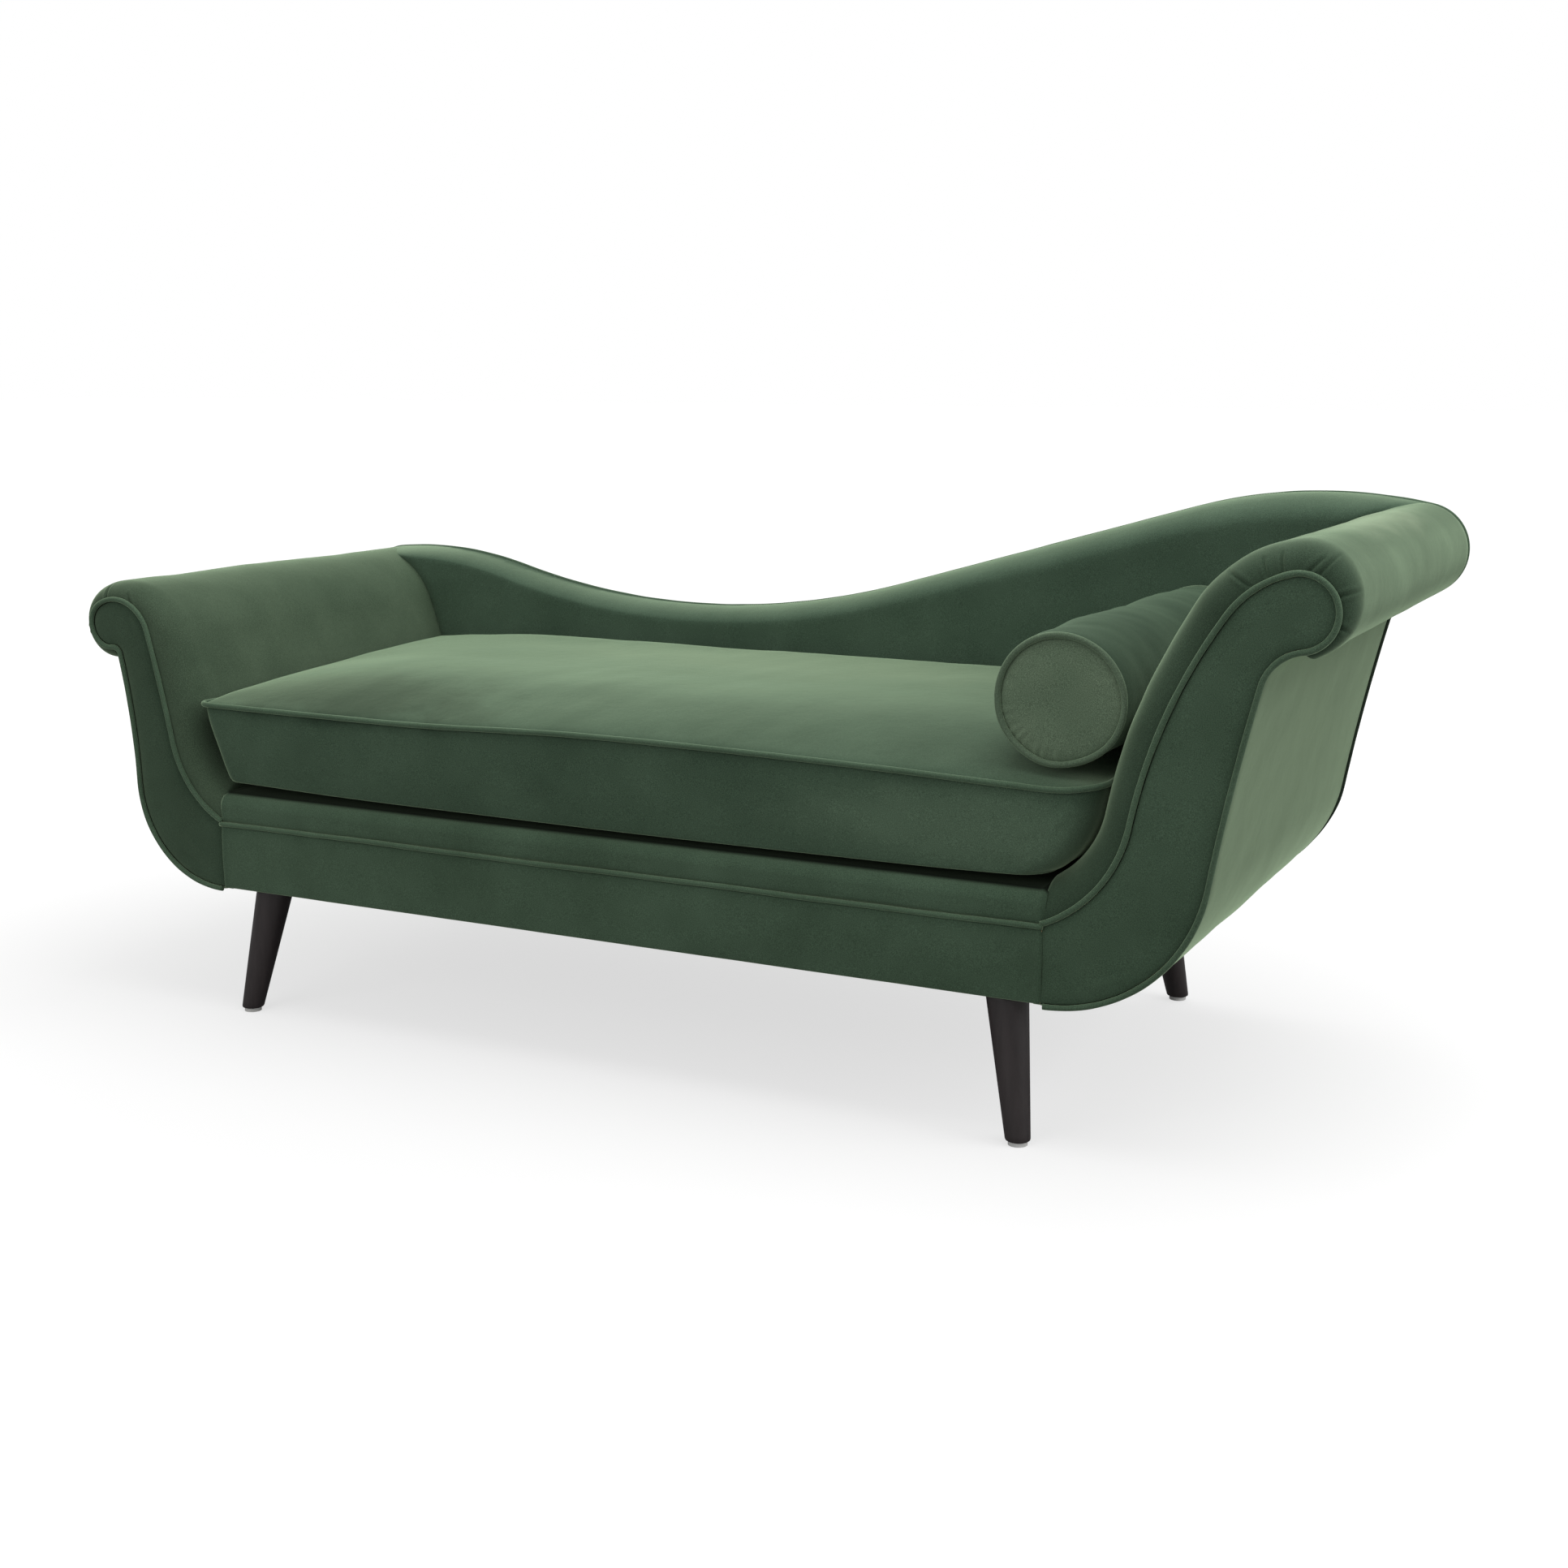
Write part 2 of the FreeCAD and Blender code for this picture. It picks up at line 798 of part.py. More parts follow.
def zip_strip():
    z_from = zip_z - zip_height / 2
    y_to = cushion_back + zip_tape
    return box(zip_start, zip_start + zip_length, cushion_back, y_to, z_from, z_from + zip_height)


def zip_slider():
    """The slider and its pull, at the closed end of the zip."""
    x = zip_start + slider_inset
    y = cushion_back + zip_tape + fit_gap
    z = zip_z - slider_height / 2
    body = box(x, x + slider_length, y, y + slider_thickness, z, z + slider_height)
    x_pull = x + (slider_length - pull_width) / 2
    y_pull = y + slider_thickness - pull_thickness
    pull = box(x_pull, x_pull + pull_width, y_pull, y + slider_thickness, z - pull_length, z)
    return body.fuse(pull).removeSplitter()


# Bolster

bolster_z = cushion_top + fit_gap + bolster_radius


def bolster_x():
    """Where a bolster that lies on the cushion comes to the head arm."""
    rise = head.padded[1].offset(velvet)
    distance = rise.radius + bolster_arm_gap + bolster_radius
    return rise.centre[0] - math.sqrt(distance ** 2 - (bolster_z - rise.centre[1]) ** 2)


bolster_back = back_face - bolster_back_gap - welt_offset - welt_radius
bolster_front = bolster_back - bolster_length


def bolster_rod(radius, inset_front, inset_back):
    start = Vector(bolster_x(), bolster_front + inset_front, bolster_z)
    end = Vector(bolster_x(), bolster_back - inset_back, bolster_z)
    return rod(start, end, radius)


def bolster_welt(y):
    centre = Vector(bolster_x(), y, bolster_z)
    return Part.makeTorus(bolster_radius - welt_radius, welt_radius, centre, Vector(0, 1, 0))


# Everything, by node

parts = {}

parts["front_rail"] = long_rail(front_rail_face)
parts["rear_rail"] = long_rail(rear_rail_inner)
parts["end_rail_head"] = end_rail(1)
parts["end_rail_foot"] = end_rail(-1)
parts["centre_brace"] = box(
    -brace_width / 2, brace_width / 2, front_rail_inner, rear_rail_inner,
    rail_bottom, rail_bottom + brace_height)
parts["corner_blocks"] = group([block(*c) for c in corners()])
parts["leg_plates"] = group([plate(*c) for c in corners()])
parts["plate_screws"] = group([screw(place, 0.0) for c in corners() for place in screw_places(*c)])
parts["hanger_bolts"] = group([bolt(*c, bolt_radius) for c in corners()])
parts["foot_glides"] = group([glide(*c) for c in corners()])
for sign_x, sign_y in corners():
    place = ("front" if sign_y < 0 else "rear") + "_" + ("foot_end" if sign_x < 0 else "head_end")
    parts["leg_" + place] = leg(sign_x, sign_y)
parts["dust_cover"] = dust_cover()

parts["seat_springs"] = group([spring(x) for x in spring_centres()])
parts["spring_clips"] = group(
    [clip(x, spring_front, 1) for x in spring_centres()]
    + [clip(x, spring_back, -1) for x in spring_centres()])
parts["spring_felt"] = box(
    -half_rail + felt_setback, half_rail - felt_setback, front + felt_setback, board_front - fit_gap,
    felt_bottom, foam_bottom)
parts["deck_foam"] = deck_slab(velvet, foam_bottom, board_front - fit_gap)
parts["deck_cover"] = deck_cover()
parts["deck_welt"] = rod(
    Vector(-half_rail + welt_offset + welt_radius, front + welt_radius, seam_z),
    Vector(half_rail - welt_offset - welt_radius, front + welt_radius, seam_z),
    welt_radius)
parts["front_rail_cover"] = box(
    -half_rail, half_rail, front, front_rail_face, rail_bottom, seam_z - welt_offset)

for name, arm in arms.items():
    outline = arm.outline()
    parts[name + "_arm_front_panel"] = arm.prism(outline, arm_front, panel_back)
    parts[name + "_arm_rear_panel"] = arm.prism(outline, board_front, board_back)
    parts[name + "_arm_lining"] = arm.prism(arm.lining_outline(), panel_back, board_front)
    parts[name + "_arm_battens"] = arm.battens()
    parts[name + "_arm_pad"] = arm.prism(arm.pad_outline(0.0), arm_front, board_back)
    skin = arm.prism(arm.pad_outline(velvet), arm_front - velvet, board_back)
    parts[name + "_arm_cover"] = skin.cut(arm.prism(arm.pad_outline(0.0), arm_front, back))
    parts[name + "_front_facing"] = arm.prism(outline, front, arm_front)
    welt_wire = upright_wire(arm.placed(arm.welt_path()), front + welt_radius)
    parts[name + "_facing_welt"] = tube(welt_wire, welt_radius)
    parts[name + "_side_panel"] = arm.prism(arm.side_outline(), arm_front, board_back)

parts["back_board"] = back_region(-velvet, rail_bottom, board_front, board_back)
back_pad_low = deck_top + fit_gap
parts["back_pad"] = back_region(-velvet, back_pad_low, back_face + velvet, board_front)
parts["inside_back_cover"] = back_region(0.0, back_pad_low, back_face, board_back).cut(
    back_region(-velvet, rail_bottom, back_face + velvet, back))
parts["outside_back_panel"] = prism(rear_outline(), board_back, back)
parts["back_welt"] = tube(upright_wire(rear_edge(-welt_radius), back - welt_radius), welt_radius)

foam = cushion_body(velvet + cushion_wrap)
wrapped = cushion_body(velvet)
parts["cushion_foam"] = foam
parts["cushion_wrap"] = wrapped.cut(foam)
parts["cushion_cover"] = cushion_body(0.0).cut(wrapped)
parts["cushion_welt"] = cushion_welt()
parts["cushion_zip"] = zip_strip()
parts["zip_slider"] = zip_slider()

parts["bolster_core"] = bolster_rod(bolster_radius - velvet, velvet, velvet)
parts["bolster_cover"] = bolster_rod(bolster_radius, 0.0, 0.0).cut(
    bolster_rod(bolster_radius - velvet, 0.0, 0.0))
parts["bolster_end_front"] = bolster_rod(bolster_radius - velvet, 0.0, bolster_length - velvet)
parts["bolster_end_rear"] = bolster_rod(bolster_radius - velvet, bolster_length - velvet, 0.0)
parts["bolster_welts"] = group([
    bolster_welt(bolster_front - welt_offset), bolster_welt(bolster_back + welt_offset)])

# The seat is not midway between the rolls, so the whole part is moved to centre its length
to_centre = Vector((foot.reach() - head.reach()) / 2, 0, 0)

os.makedirs("parts", exist_ok=True)
for name, shape in parts.items():
    shape.translate(to_centre)
    shape.exportStep("parts/" + name + ".step")
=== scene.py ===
import json
import math

import bpy
import numpy as np
from mathutils import Euler, Matrix, Vector
from mathutils.geometry import delaunay_2d_cdt


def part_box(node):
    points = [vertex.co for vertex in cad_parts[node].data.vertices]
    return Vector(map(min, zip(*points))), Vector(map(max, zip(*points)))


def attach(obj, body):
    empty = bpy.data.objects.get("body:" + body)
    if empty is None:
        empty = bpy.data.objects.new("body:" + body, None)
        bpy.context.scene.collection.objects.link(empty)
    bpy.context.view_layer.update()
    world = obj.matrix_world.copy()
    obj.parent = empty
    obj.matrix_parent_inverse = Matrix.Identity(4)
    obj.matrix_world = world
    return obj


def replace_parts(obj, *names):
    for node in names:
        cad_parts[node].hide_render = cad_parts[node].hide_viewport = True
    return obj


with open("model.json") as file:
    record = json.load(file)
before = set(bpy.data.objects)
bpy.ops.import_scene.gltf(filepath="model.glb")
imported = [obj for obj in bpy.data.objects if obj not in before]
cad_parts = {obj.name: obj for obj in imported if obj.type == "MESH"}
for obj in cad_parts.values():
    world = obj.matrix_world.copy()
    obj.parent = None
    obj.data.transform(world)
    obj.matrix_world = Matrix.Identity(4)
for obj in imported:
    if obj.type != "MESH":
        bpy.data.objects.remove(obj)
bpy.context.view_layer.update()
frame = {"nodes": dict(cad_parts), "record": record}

# Shapes are worked out in millimetres from the middle of the front rail, and stored in metres.
MM = 0.001
rail_low, rail_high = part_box("front_rail")
MIDDLE = np.array([(rail_low.x + rail_high.x) / 2 / MM, 0.0, 0.0])

HALF_RAIL = 645.0
RAIL_BOTTOM = 192.0
SEAM = 289.0
DECK_TOP = 334.4
FRONT = -362.0
REAR = 355.3
BACK_FACE = 282.8
WELT = 3.2
WELT_OFFSET = 3.5
BESIDE_WELT = WELT_OFFSET + 1.5
VELVET = 1.5
ARM_PAD = 46.0
PANEL_END = HALF_RAIL + 0.9


# Materials
class Tree:
    """The nodes of a material or a world, with short calls that add to them."""

    def __init__(self, owner):
        owner.use_nodes = True
        self.nodes = owner.node_tree.nodes
        self.links = owner.node_tree.links

    def fill(self, node, inputs):
        """Links each socket to its input, and writes each plain value in it."""
        for name, value in inputs.items():
            if isinstance(value, bpy.types.NodeSocket):
                self.links.new(value, node.inputs[name])
            else:
                node.inputs[name].default_value = value

    def add(self, kind, inputs=None):
        node = self.nodes.new("ShaderNode" + kind)
        self.fill(node, inputs or {})
        return node

    def maths(self, kind, operation, *inputs):
        node = self.add(kind)
        node.operation = operation
        self.fill(node, dict(enumerate(inputs)))
        return node

    def noise(self, coords, scale, detail, rough):
        inputs = {"Vector": coords, "Scale": scale, "Detail": detail, "Roughness": rough}
        return self.add("TexNoise", inputs).outputs["Fac"]

    def ramp(self, source, stops):
        node = self.add("ValToRGB", {"Fac": source})
        elements = node.color_ramp.elements
        while len(elements) < len(stops):
            elements.new(0.5)
        for element, (place, colour) in zip(elements, stops):
            element.position = place
            element.color = (*colour, 1.0)
        return node.outputs["Color"]

    def mix(self, kind, factor, a, b):
        node = self.add("Mix")
        node.data_type = "RGBA"
        node.blend_type = kind
        self.fill(node, {0: factor, 6: a, 7: b})
        return node.outputs[2]

    def map_range(self, source, start, end, low, high, kind="SMOOTHSTEP"):
        inputs = {"Value": source, "From Min": start, "From Max": end, "To Min": low, "To Max": high}
        node = self.add("MapRange", inputs)
        node.interpolation_type = kind
        return node.outputs["Result"]

    def bump(self, height, strength, depth, below=None):
        node = self.add("Bump", {"Height": height, "Strength": strength, "Distance": depth})
        if below:
            self.fill(node, {"Normal": below})
        return node.outputs["Normal"]


def new_material(name):
    mat = bpy.data.materials.new(name)
    tree = Tree(mat)
    return mat, tree, tree.nodes["Principled BSDF"], tree.add("TexCoord").outputs["Object"]


def away_from(tree, coords, centre, reach):
    """How far a point lies from a centre, as a share of a reach along each axis, with a ragged edge."""
    apart = tree.maths("VectorMath", "SUBTRACT", coords, centre).outputs["Vector"]
    share = tree.maths("VectorMath", "DIVIDE", apart, reach).outputs["Vector"]
    length = tree.maths("VectorMath", "LENGTH", share).outputs["Value"]
    return tree.maths("Math", "ADD", length, tree.noise(coords, 14.0, 4.0, 0.6)).outputs[0]


TINT = (0.64, 0.86, 0.56)


def velvet(name, deep, pale, sheen, tint=TINT, rough=0.42, painted_patches=(), shaded=None):
    """Short-pile velvet: a dark ground, a brushed nap that varies, fine speckle and a strong sheen.

    A painted patch paints a highlight, or shade where its colour is darker, over the ground: (centre, reach,
    colour).
    Painted shade darkens the velvet between the two depths of shaded.
    """
    mat, tree, shader, coords = new_material(name)
    colour = tree.ramp(tree.noise(coords, 7.0, 3.0, 0.55), [(0.32, deep), (0.70, pale)])
    for centre, reach, raised in painted_patches:
        near = tree.map_range(away_from(tree, coords, centre, reach), 1.5, 0.7, 0.0, 1.0)
        colour = tree.mix("MIX", near, colour, (*raised, 1.0))
    speckle = tree.noise(coords, 950.0, 2.0, 0.7)
    grain = tree.ramp(speckle, [(0.28, (0.58,) * 3), (0.50, (0.97,) * 3), (0.74, (1.6,) * 3)])
    colour = tree.mix("MULTIPLY", 1.0, colour, grain)
    crush = tree.bump(tree.noise(coords, 48.0, 4.0, 0.6), 0.22, 0.002)
    tree.fill(shader, {
        "Roughness": 0.9, "Specular IOR Level": 0.12,
        "Sheen Weight": sheen, "Sheen Roughness": rough, "Sheen Tint": (*tint, 1.0),
        "Normal": tree.bump(speckle, 0.22, 0.0006, crush),
    })
    # Painted shade: the base colour and the sheen darken between the two depths.
    if shaded:
        depth = tree.add("SeparateXYZ", {0: coords}).outputs["Y"]
        light = tree.map_range(depth, *shaded, 1.0, 0.10)
        tree.fill(shader, {"Sheen Weight": tree.maths("Math", "MULTIPLY", light, sheen).outputs[0]})
        colour = tree.mix("MULTIPLY", 1.0, colour, light)
    tree.fill(shader, {"Base Color": colour})
    return mat


def wood(name, dark, light, roughness, stretch, coat=0.0, bump=0.15):
    """Grain that runs along one axis."""
    mat, tree, shader, coords = new_material(name)
    stretched = tree.add("Mapping", {"Vector": coords, "Scale": stretch}).outputs["Vector"]
    grain = tree.noise(stretched, 60.0, 6.0, 0.62)
    tree.fill(shader, {
        "Base Color": tree.ramp(grain, [(0.35, dark), (0.65, light)]),
        "Roughness": tree.map_range(grain, 0.0, 1.0, roughness - 0.06, roughness + 0.08, "LINEAR"),
        "Coat Weight": coat, "Coat Roughness": 0.35, "Normal": tree.bump(grain, bump, 0.0005),
    })
    return mat


def plain(name, dark, light, roughness, metallic=0.0, scale=90.0, bump=0.1):
    """A material with a fine mottle in its colour, its roughness and its relief."""
    mat, tree, shader, coords = new_material(name)
    mottle = tree.noise(coords, scale, 5.0, 0.6)
    smoothest, roughest = max(roughness - 0.08, 0.05), min(roughness + 0.08, 1.0)
    tree.fill(shader, {
        "Base Color": tree.ramp(mottle, [(0.3, dark), (0.7, light)]),
        "Roughness": tree.map_range(mottle, 0.0, 1.0, smoothest, roughest, "LINEAR"),
        "Metallic": metallic, "Normal": tree.bump(mottle, bump, 0.0004),
    })
    return mat


# Painted highlight on the top of the head roll: (centre, reach, colour).
HEAD_PAINTED_HIGHLIGHT = [((0.880, 0.02, 0.768), (0.075, 0.27, 0.05), (0.135, 0.170, 0.115))]
# Painted light and shade on the seat cushion: a highlight over the top's middle and rear, shade on the top's
# front at the foot end, and a highlight on the front border at the head end.
SEAT_PAINTED_LIGHT_AND_SHADE = [
    ((0.02, 0.13, 0.510), (0.66, 0.20, 0.08), (0.085, 0.122, 0.076)),
    ((-0.50, -0.29, 0.485), (0.34, 0.15, 0.05), (0.013, 0.027, 0.016)),
    ((0.50, -0.356, 0.40), (0.34, 0.06, 0.075), (0.078, 0.124, 0.080)),
]
# Painted shade on the deck: its velvet darkens to a tenth from just behind its front edge back under the
# cushion.
DECK_SHADE = (-0.352, -0.343)
# Painted light and shade: the parts get lit and shaded copies of one velvet, each ground lighter or darker
# for the light on that part, such as the lighter outer sides, welts and bolster ends, and the darker head
# arm, foot facing, bolster roll and rear rim.
MAIN_GROUND = ((0.043, 0.075, 0.046), (0.062, 0.104, 0.066))
HEAD_GROUND = ((0.029, 0.051, 0.031), (0.042, 0.071, 0.044))
SEAT_GROUND = ((0.039, 0.069, 0.043), (0.055, 0.093, 0.059))
ROLL_TINT = (0.60, 0.86, 0.56)
VELVET_MAIN = velvet("velvet_main", *MAIN_GROUND, 0.80)
VELVET_FOOT_FACING = velvet("velvet_foot_facing", (0.030, 0.053, 0.032), (0.042, 0.072, 0.045), 0.78)
VELVET_BACK = velvet("velvet_back", (0.046, 0.080, 0.052), (0.064, 0.106, 0.070), 0.86)
VELVET_HEAD = velvet("velvet_head_arm", *HEAD_GROUND, 0.66, painted_patches=HEAD_PAINTED_HIGHLIGHT)
VELVET_DECK = velvet("velvet_deck", *MAIN_GROUND, 0.82, shaded=DECK_SHADE)
VELVET_TOP = velvet("velvet_seat", *SEAT_GROUND, 0.86, rough=0.40, painted_patches=SEAT_PAINTED_LIGHT_AND_SHADE)
VELVET_WELT = velvet("velvet_welt", (0.056, 0.094, 0.058), (0.072, 0.118, 0.074), 0.90, rough=0.38)
VELVET_ROLL = velvet("velvet_bolster", (0.021, 0.041, 0.025), (0.031, 0.056, 0.034), 0.33, ROLL_TINT)
VELVET_DISC = velvet("velvet_disc", (0.100, 0.148, 0.094), (0.156, 0.214, 0.140), 0.74)
VELVET_DISC_WELT = velvet("velvet_disc_welt", (0.080, 0.120, 0.076), (0.104, 0.150, 0.098), 0.80)
VELVET_RIM_SHADE = velvet("velvet_rim_shade", (0.012, 0.020, 0.012), (0.018, 0.028, 0.018), 0.15)
VELVET_FOOT = velvet("velvet_foot_arm", (0.043, 0.069, 0.042), (0.064, 0.096, 0.060), 0.74)
VELVET_SIDE_LIT = velvet("velvet_side_lit", (0.066, 0.094, 0.059), (0.082, 0.115, 0.072), 0.95)

# Each wood: its dark and its light, its roughness, its stretch along the grain, its coat and its relief.
WOODS = {
    "leg_wood": ((0.016, 0.0112, 0.0116), (0.027, 0.0195, 0.0200), 0.42, (1.0, 1.0, 0.12), 0.10, 0.08),
    "rail_wood": ((0.42, 0.27, 0.14), (0.60, 0.42, 0.24), 0.6, (0.1, 1.0, 1.0)),
    "plywood": ((0.46, 0.31, 0.17), (0.62, 0.46, 0.28), 0.65, (1.0, 0.1, 1.0)),
}
# Each other material: its dark and its light, its roughness, its metal, its scale and its relief.
MOTTLED = {
    "glide_plastic": ((0.62, 0.62, 0.60), (0.72, 0.72, 0.70), 0.4),
    "clip_plastic": ((0.55, 0.55, 0.53), (0.66, 0.66, 0.64), 0.6),
    "foam": ((0.66, 0.60, 0.42), (0.78, 0.72, 0.54), 0.95, 0.0, 400.0, 0.4),
    "fibre": ((0.72, 0.72, 0.70), (0.84, 0.84, 0.82), 0.95, 0.0, 160.0, 0.5),
    "felt": ((0.13, 0.13, 0.12), (0.24, 0.24, 0.22), 0.95, 0.0, 300.0, 0.5),
    "dust_cloth": ((0.008, 0.008, 0.008), (0.020, 0.020, 0.020), 0.9, 0.0, 500.0, 0.5),
    "zinc_steel": ((0.40, 0.40, 0.41), (0.55, 0.55, 0.56), 0.38, 1.0, 120.0),
    "spring_steel": ((0.22, 0.22, 0.23), (0.34, 0.34, 0.35), 0.42, 1.0, 120.0),
    "zip_tape": ((0.020, 0.034, 0.022), (0.034, 0.054, 0.036), 0.9, 0.0, 900.0, 0.6),
    "zip_metal": ((0.38, 0.28, 0.12), (0.52, 0.40, 0.20), 0.35, 1.0, 200.0),
}
SLOT_MATERIALS = {"velvet": VELVET_MAIN}
SLOT_MATERIALS.update((slot, wood(slot, *look)) for slot, look in WOODS.items())
SLOT_MATERIALS.update((slot, plain(slot, *look)) for slot, look in MOTTLED.items())
node_slot = {entry["node"]: entry["material_slot"] for entry in frame["record"]["subparts"]}
for node_name, node in frame["nodes"].items():
    node.data.materials.clear()
    node.data.materials.append(SLOT_MATERIALS[node_slot[node_name]])


# Helpers for shapes
def within(values):
    """The values, kept between 0 and 1."""
    return np.clip(values, 0, 1)


def at_depth(flat, y):
    """Points (x, z) with their depth put in between."""
    flat = np.asarray(flat)
    return np.stack(np.broadcast_arrays(flat[..., 0], y, flat[..., 1]), -1)


def bell(distance, width):
    """1 where the distance is 0, and soon 0 beyond the width."""
    return np.exp(-(distance / width) ** 2)


def polar(centre, radius, angle):
    return np.array([centre[0] + radius * math.cos(angle), centre[1] + radius * math.sin(angle)])


def arc(centre, radius, start, end, count):
    return [polar(centre, radius, angle) for angle in np.linspace(start, end, count)]


class Bend:
    def __init__(self, centre, radius, start, end):
        self.centre, self.radius, self.start, self.end = centre, radius, start, end
        self.turn = 1.0 if end > start else -1.0

    def at(self, t, offset=0.0):
        angle = self.start + (self.end - self.start) * t
        return polar(self.centre, self.radius - self.turn * offset, angle)

    def heading(self, t):
        return self.start + (self.end - self.start) * t + self.turn * math.pi / 2

    def length(self, offset=0.0):
        return abs(self.end - self.start) * (self.radius - self.turn * offset)


def bend_on(point, heading, radius, degrees):
    turn = math.radians(degrees)
    side = math.copysign(1.0, turn)
    centre = polar(point, side * radius, heading + math.pi / 2)
    start = heading - side * math.pi / 2
    return Bend(centre, radius, start, start + turn)


def bends_from(point, heading, runs):
    made = []
    for radius, degrees in runs:
        made.append(bend_on(point, heading, radius, degrees))
        point, heading = made[-1].at(1.0), made[-1].heading(1.0)
    return made


def angle_to(centre, point):
    return math.atan2(point[1] - centre[1], point[0] - centre[0])


def bend_between(centre, radius, first, last, left):
    start, end = angle_to(centre, first), angle_to(centre, last)
    if left:
        end = start + (end - start) % (2 * math.pi)
    else:
        end = start - (start - end) % (2 * math.pi)
    return Bend(centre, radius, start, end)


def circles_meet(a, ra, b, rb):
    a, b = np.array(a), np.array(b)
    d = b - a
    distance = np.hypot(*d)
    along = (ra ** 2 - rb ** 2 + distance ** 2) / (2 * distance)
    across = math.sqrt(ra ** 2 - along ** 2)
    return a + (along * d + across * np.array([-d[1], d[0]])) / distance


class Arm:
    """The same construction as the arm solids: its own outline and the face of its padding."""

    def __init__(self, name, side, base_angle, runs, throat, flank, hull, over, under, hang):
        self.name, self.side, self.hang = name, side, hang
        self.inner = bends_from((HALF_RAIL, SEAM), math.radians(base_angle), runs)
        low, mid, _, last = self.inner
        start = last.at(1.0)
        throat_centre = polar(start, throat, last.heading(1.0) + math.pi / 2)
        hull_centre = (HALF_RAIL + 4.0, RAIL_BOTTOM + hull)
        centre = circles_meet(throat_centre, flank - throat, hull_centre, flank + hull)
        flank_bend = bend_between(centre, flank, throat_centre, hull_centre, True)
        self.outer = [
            bend_between(throat_centre, throat, start, flank_bend.at(0.0), True),
            flank_bend,
            bend_between(hull_centre, hull, flank_bend.at(1.0), (hull_centre[0], RAIL_BOTTOM), False),
        ]
        self.roll_radius = roll = last.radius + (over + under) / 2
        self.roll_centre = (last.centre[0], last.centre[1] + (over - under) / 2)
        rise_radius = mid.radius + ARM_PAD
        crest_radius = runs[2][0] + ARM_PAD
        centre = circles_meet(mid.centre, rise_radius - crest_radius, self.roll_centre, crest_radius - roll)
        rise_start = polar(mid.centre, rise_radius, mid.start)
        rise_end = polar(centre, crest_radius, angle_to(mid.centre, centre))
        crest_end = polar(centre, crest_radius, angle_to(centre, self.roll_centre))
        roll_end = polar(self.roll_centre, roll, last.end)
        self.padded = [
            Bend(low.centre, low.radius - ARM_PAD, low.start, low.end),
            bend_between(mid.centre, rise_radius, rise_start, rise_end, False),
            bend_between(centre, crest_radius, rise_end, crest_end, False),
            bend_between(self.roll_centre, roll, crest_end, roll_end, False),
        ]

    def face_x(self, z, gap):
        """How far out the velvet on the arm's inner face lies at a height below the crest."""
        low, rise = self.padded[0], self.padded[1]
        bend = low if z < low.at(1.0, gap)[1] else rise
        radius = bend.radius - bend.turn * gap
        return bend.centre[0] + bend.turn * math.sqrt(radius ** 2 - (z - bend.centre[1]) ** 2)


HEAD = Arm(
    "head", 1, 22.5, [(181.0, 57.0), (664.0, -24.0), (120.6, -40.7), (41.0, -186.0)],
    throat=60.0, flank=3000.0, hull=198.0, over=38.0, under=6.0, hang=8.0,
)
FOOT = Arm(
    "foot", -1, 26.0, [(166.0, 52.5), (2500.0, -3.8), (59.0, -105.0), (31.0, -158.0)],
    throat=16.0, flank=1000.0, hull=149.0, over=28.0, under=18.0, hang=2.0,
)


def lumps(points, size, amount, seed):
    """Soft unevenness, about -amount to amount, with waves of about the given size in millimetres."""
    rng = np.random.default_rng(seed)
    total = np.zeros(points.shape[:-1])
    for _ in range(9):
        direction = rng.normal(size=3)
        direction /= np.linalg.norm(direction)
        wave = direction * 2 * math.pi / (size * rng.uniform(0.7, 1.6))
        total += np.sin(points @ wave + rng.uniform(0, 2 * math.pi))
    return total * amount / 3.6


def smooth_curve(knots, values, x):
    """A smooth curve through a few points."""
    knots, values = np.array(knots, float), np.array(values, float)
    k = np.clip(np.searchsorted(knots, x) - 1, 0, len(knots) - 2)
    t = within((x - knots[k]) / (knots[k + 1] - knots[k]))
    slopes = np.gradient(values, knots)
    h = knots[k + 1] - knots[k]
    return ((2 * t ** 3 - 3 * t ** 2 + 1) * values[k] + (t ** 3 - 2 * t ** 2 + t) * h * slopes[k]
            + (3 * t ** 2 - 2 * t ** 3) * values[k + 1] + (t ** 3 - t ** 2) * h * slopes[k + 1])


def make_piece(name, points, faces, body, material):
    mesh = bpy.data.meshes.new(name)
    mesh.from_pydata([tuple(p) for p in (np.asarray(points) + MIDDLE) * MM], [], faces)
    mesh.validate()
    mesh.polygons.foreach_set("use_smooth", [True] * len(mesh.polygons))
    mesh.materials.append(material)
    mesh.update()
    piece = bpy.data.objects.new(name, mesh)
    bpy.context.scene.collection.objects.link(piece)
    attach(piece, body)
    return piece


def grid_faces(nu, nv, wrap_u=False, flip=False):
    faces = []
    for i in range(nu if wrap_u else nu - 1):
        k = (i + 1) % nu
        for j in range(nv - 1):
            quad = (i * nv + j, k * nv + j, k * nv + j + 1, i * nv + j + 1)
            faces.append(quad[::-1] if flip else quad)
    return faces


def ring_faces(count, around, closed=False, capped=True):
    """Faces from each ring of points to the next, with a cap at each open end."""
    faces = []
    for k in range(count if closed else count - 1):
        m = (k + 1) % count
        for j in range(around):
            i = (j + 1) % around
            faces.append((k * around + j, k * around + i, m * around + i, m * around + j))
    if capped and not closed:
        faces.append(tuple(range(around))[::-1])
        faces.append(tuple((count - 1) * around + j for j in range(around)))
    return faces


def grid_piece(name, points, body, material, wrap_u=False, flip=False):
    nu, nv = points.shape[:2]
    return make_piece(name, points.reshape(-1, 3), grid_faces(nu, nv, wrap_u, flip), body, material)


